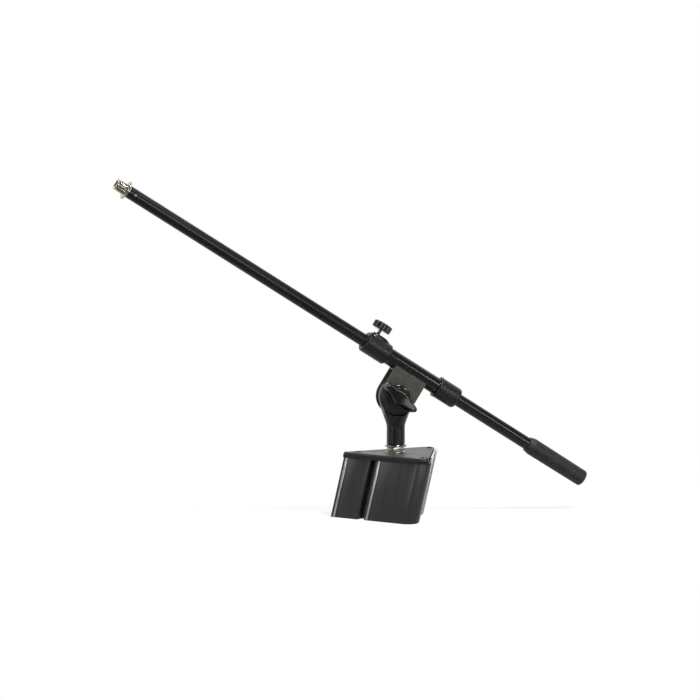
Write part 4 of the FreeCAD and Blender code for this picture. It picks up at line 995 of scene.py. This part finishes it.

# %% [markdown]
# ### Painted shade below the knob
# The wing knob's shadow is painted onto the ears below the bolt, so the powder coat goes nearly
# black there: its colour is mixed with near-black by how far a point lies below and to the left
# of the bolt.

# %% Painted shade below the bolt
KNOB_SHADE_WAY = (-0.68, 0, -0.73)
bpy.context.view_layer.update()
bolt_at = bpy.data.objects["ear_bracket"].matrix_world.inverted() @ AXLE.translation
tree = powder_coat.node_tree
shader = next(node for node in tree.nodes if node.type == "BSDF_PRINCIPLED")
unshaded_colour = shader.inputs["Base Color"].links[0].from_socket
place = add(tree, "ShaderNodeTexCoord")
offset = add(tree, "ShaderNodeVectorMath", {0: place.outputs["Object"], 1: bolt_at},
             operation="SUBTRACT")
below = add(tree, "ShaderNodeVectorMath", {0: offset.outputs["Vector"], 1: KNOB_SHADE_WAY},
            operation="DOT_PRODUCT")
shade_amount = soft_step(tree, below.outputs["Value"], -2 * MM, 7 * MM, 0.0, 0.92)
# painted shade: the wing knob's shadow, mixed into the powder coat's colour as near-black below
# and left of the bolt
painted_shade_colour = add(tree, "ShaderNodeMixRGB", {
    "Fac": shade_amount.outputs["Result"], "Color1": unshaded_colour, "Color2": colour("#0C0C0C")})
tree.links.new(painted_shade_colour.outputs["Color"], shader.inputs["Base Color"])
print("painted_knob_shade round the bolt at", tuple(round(part / MM) for part in bolt_at), "mm")

# %% [markdown]
# ## The column head
# The column is one black extrusion with bright strips let into it, closed by a moulded cap and
# an enamelled plate. Extrusions have crisp but not sharp edges, so these parts keep the frame's
# shape and only have their edges broken.

# %% Column, cap and strips
for node, name, width, material, slot in (
        ("column_extrusion", "column_profile", 0.35, anodised, "black_anodised"),
        ("front_track", "column_track", 0.3, satin_aluminium, "bright_aluminium"),
        ("trim_strips_near", "strips_near", 0.2, satin_aluminium, "bright_aluminium"),
        ("trim_strips_far", "strips_far", 0.2, satin_aluminium, "bright_aluminium"),
        ("column_cap", "cap_moulding", 0.3, nylon, "cap_black"),
        ("cap_plate", "cap_top", 0.3, plate_enamel, "cap_grey")):
    finish(eased_copy(node, name, width * MM), "column_head", material, slot, node)

# %% [markdown]
# ### Cap screws
# Three identical button-head screws hold the cap. One head is built once in a tree: a low cone
# with a hexagon sunk into it by a Boolean. The tree copies it to the points that it is given,
# one at each corner.

# %% Screw tree
screw_group, screw_keys, given = node_tree("cap screws", [
    ("Places", "NodeSocketGeometry", None), ("Head Radius", "NodeSocketFloat", 0.005),
    ("Head Height", "NodeSocketFloat", 0.002), ("Socket Radius", "NodeSocketFloat", 0.002),
    ("Material", "NodeSocketMaterial", None)])
top_radius = add(screw_group, "ShaderNodeMath", {0: given.outputs["Head Radius"], 1: 0.62},
                 operation="MULTIPLY")
head = add(screw_group, "GeometryNodeMeshCone", {
    "Vertices": 40, "Side Segments": 3, "Radius Top": top_radius.outputs[0],
    "Radius Bottom": given.outputs["Head Radius"], "Depth": given.outputs["Head Height"]})
hexagon = add(screw_group, "GeometryNodeMeshCylinder", {
    "Vertices": 6, "Radius": given.outputs["Socket Radius"],
    "Depth": given.outputs["Head Height"]})
half_up = add(screw_group, "ShaderNodeCombineXYZ", {"Z": given.outputs["Head Height"]})
raised = add(screw_group, "GeometryNodeTransform", {
    "Geometry": hexagon.outputs["Mesh"], "Translation": half_up.outputs["Vector"]})
cut = add(screw_group, "GeometryNodeMeshBoolean", {
    0: head.outputs["Mesh"], 1: raised.outputs["Geometry"]}, operation="DIFFERENCE")
copies = add(screw_group, "GeometryNodeInstanceOnPoints", {
    "Points": given.outputs["Places"], "Instance": cut.outputs["Mesh"]})
end_tree(screw_group, copies.outputs["Instances"], given)


def screw_middles():
    """Middles of the three screws, from the frame's own part: one cluster to each corner."""
    clusters = []
    for vertex in NODES["cap_screws"].data.vertices:
        for cluster in clusters:
            if math.hypot(vertex.co.x - cluster[0].x, vertex.co.y - cluster[0].y) < 20 * MM:
                cluster.append(vertex.co)
                break
        else:
            clusters.append([vertex.co])
    return [Vector([(min(p[i] for p in group) + max(p[i] for p in group)) / 2 for i in (0, 1)])
            for group in clusters]


HEAD_RADIUS = 4.6 * MM
HEAD_HEIGHT = 2.1 * MM
HEAD_SOCKET = 1.9 * MM
head_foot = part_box("column_cap")[1][2]
places = [(x, y, head_foot + HEAD_HEIGHT / 2 + 0.3 * MM) for x, y in screw_middles()]
heads = grown("button_heads", screw_group, screw_keys, {
    "points": places, "Head Radius": HEAD_RADIUS, "Head Height": HEAD_HEIGHT,
    "Socket Radius": HEAD_SOCKET, "Material": black_oxide}, Matrix())
smooth(heads, 25)
finish(heads, "column_head", black_oxide, "zinc_steel", "cap_screws")
print(len(places), "screws")

# %% [markdown]
# ## Finishes for the parts that stay
# What is left has the right shape already: washers, bushes, discs and what hides inside. Each
# gets its finish on its own slots.

# %% Dress the frame's own parts
PLAIN_PARTS = {
    "threaded_stud": nickel_upright, "stud_washer": nickel_upright, "stud_back_nut": zinc,
    "thread_insert": nickel_upright, "friction_disc_front": fibre, "friction_disc_rear": fibre,
    "bolt_washer": zinc, "wing_washer": zinc, "wing_insert": brass, "front_liner": acetal,
    "rear_liner": acetal, "thumb_shoe": brass, "grip_weight": raw_steel,
}
for node, material in PLAIN_PARTS.items():
    for slot in NODES[node].material_slots:
        slot.material = material
print(len(PLAIN_PARTS), "parts dressed")
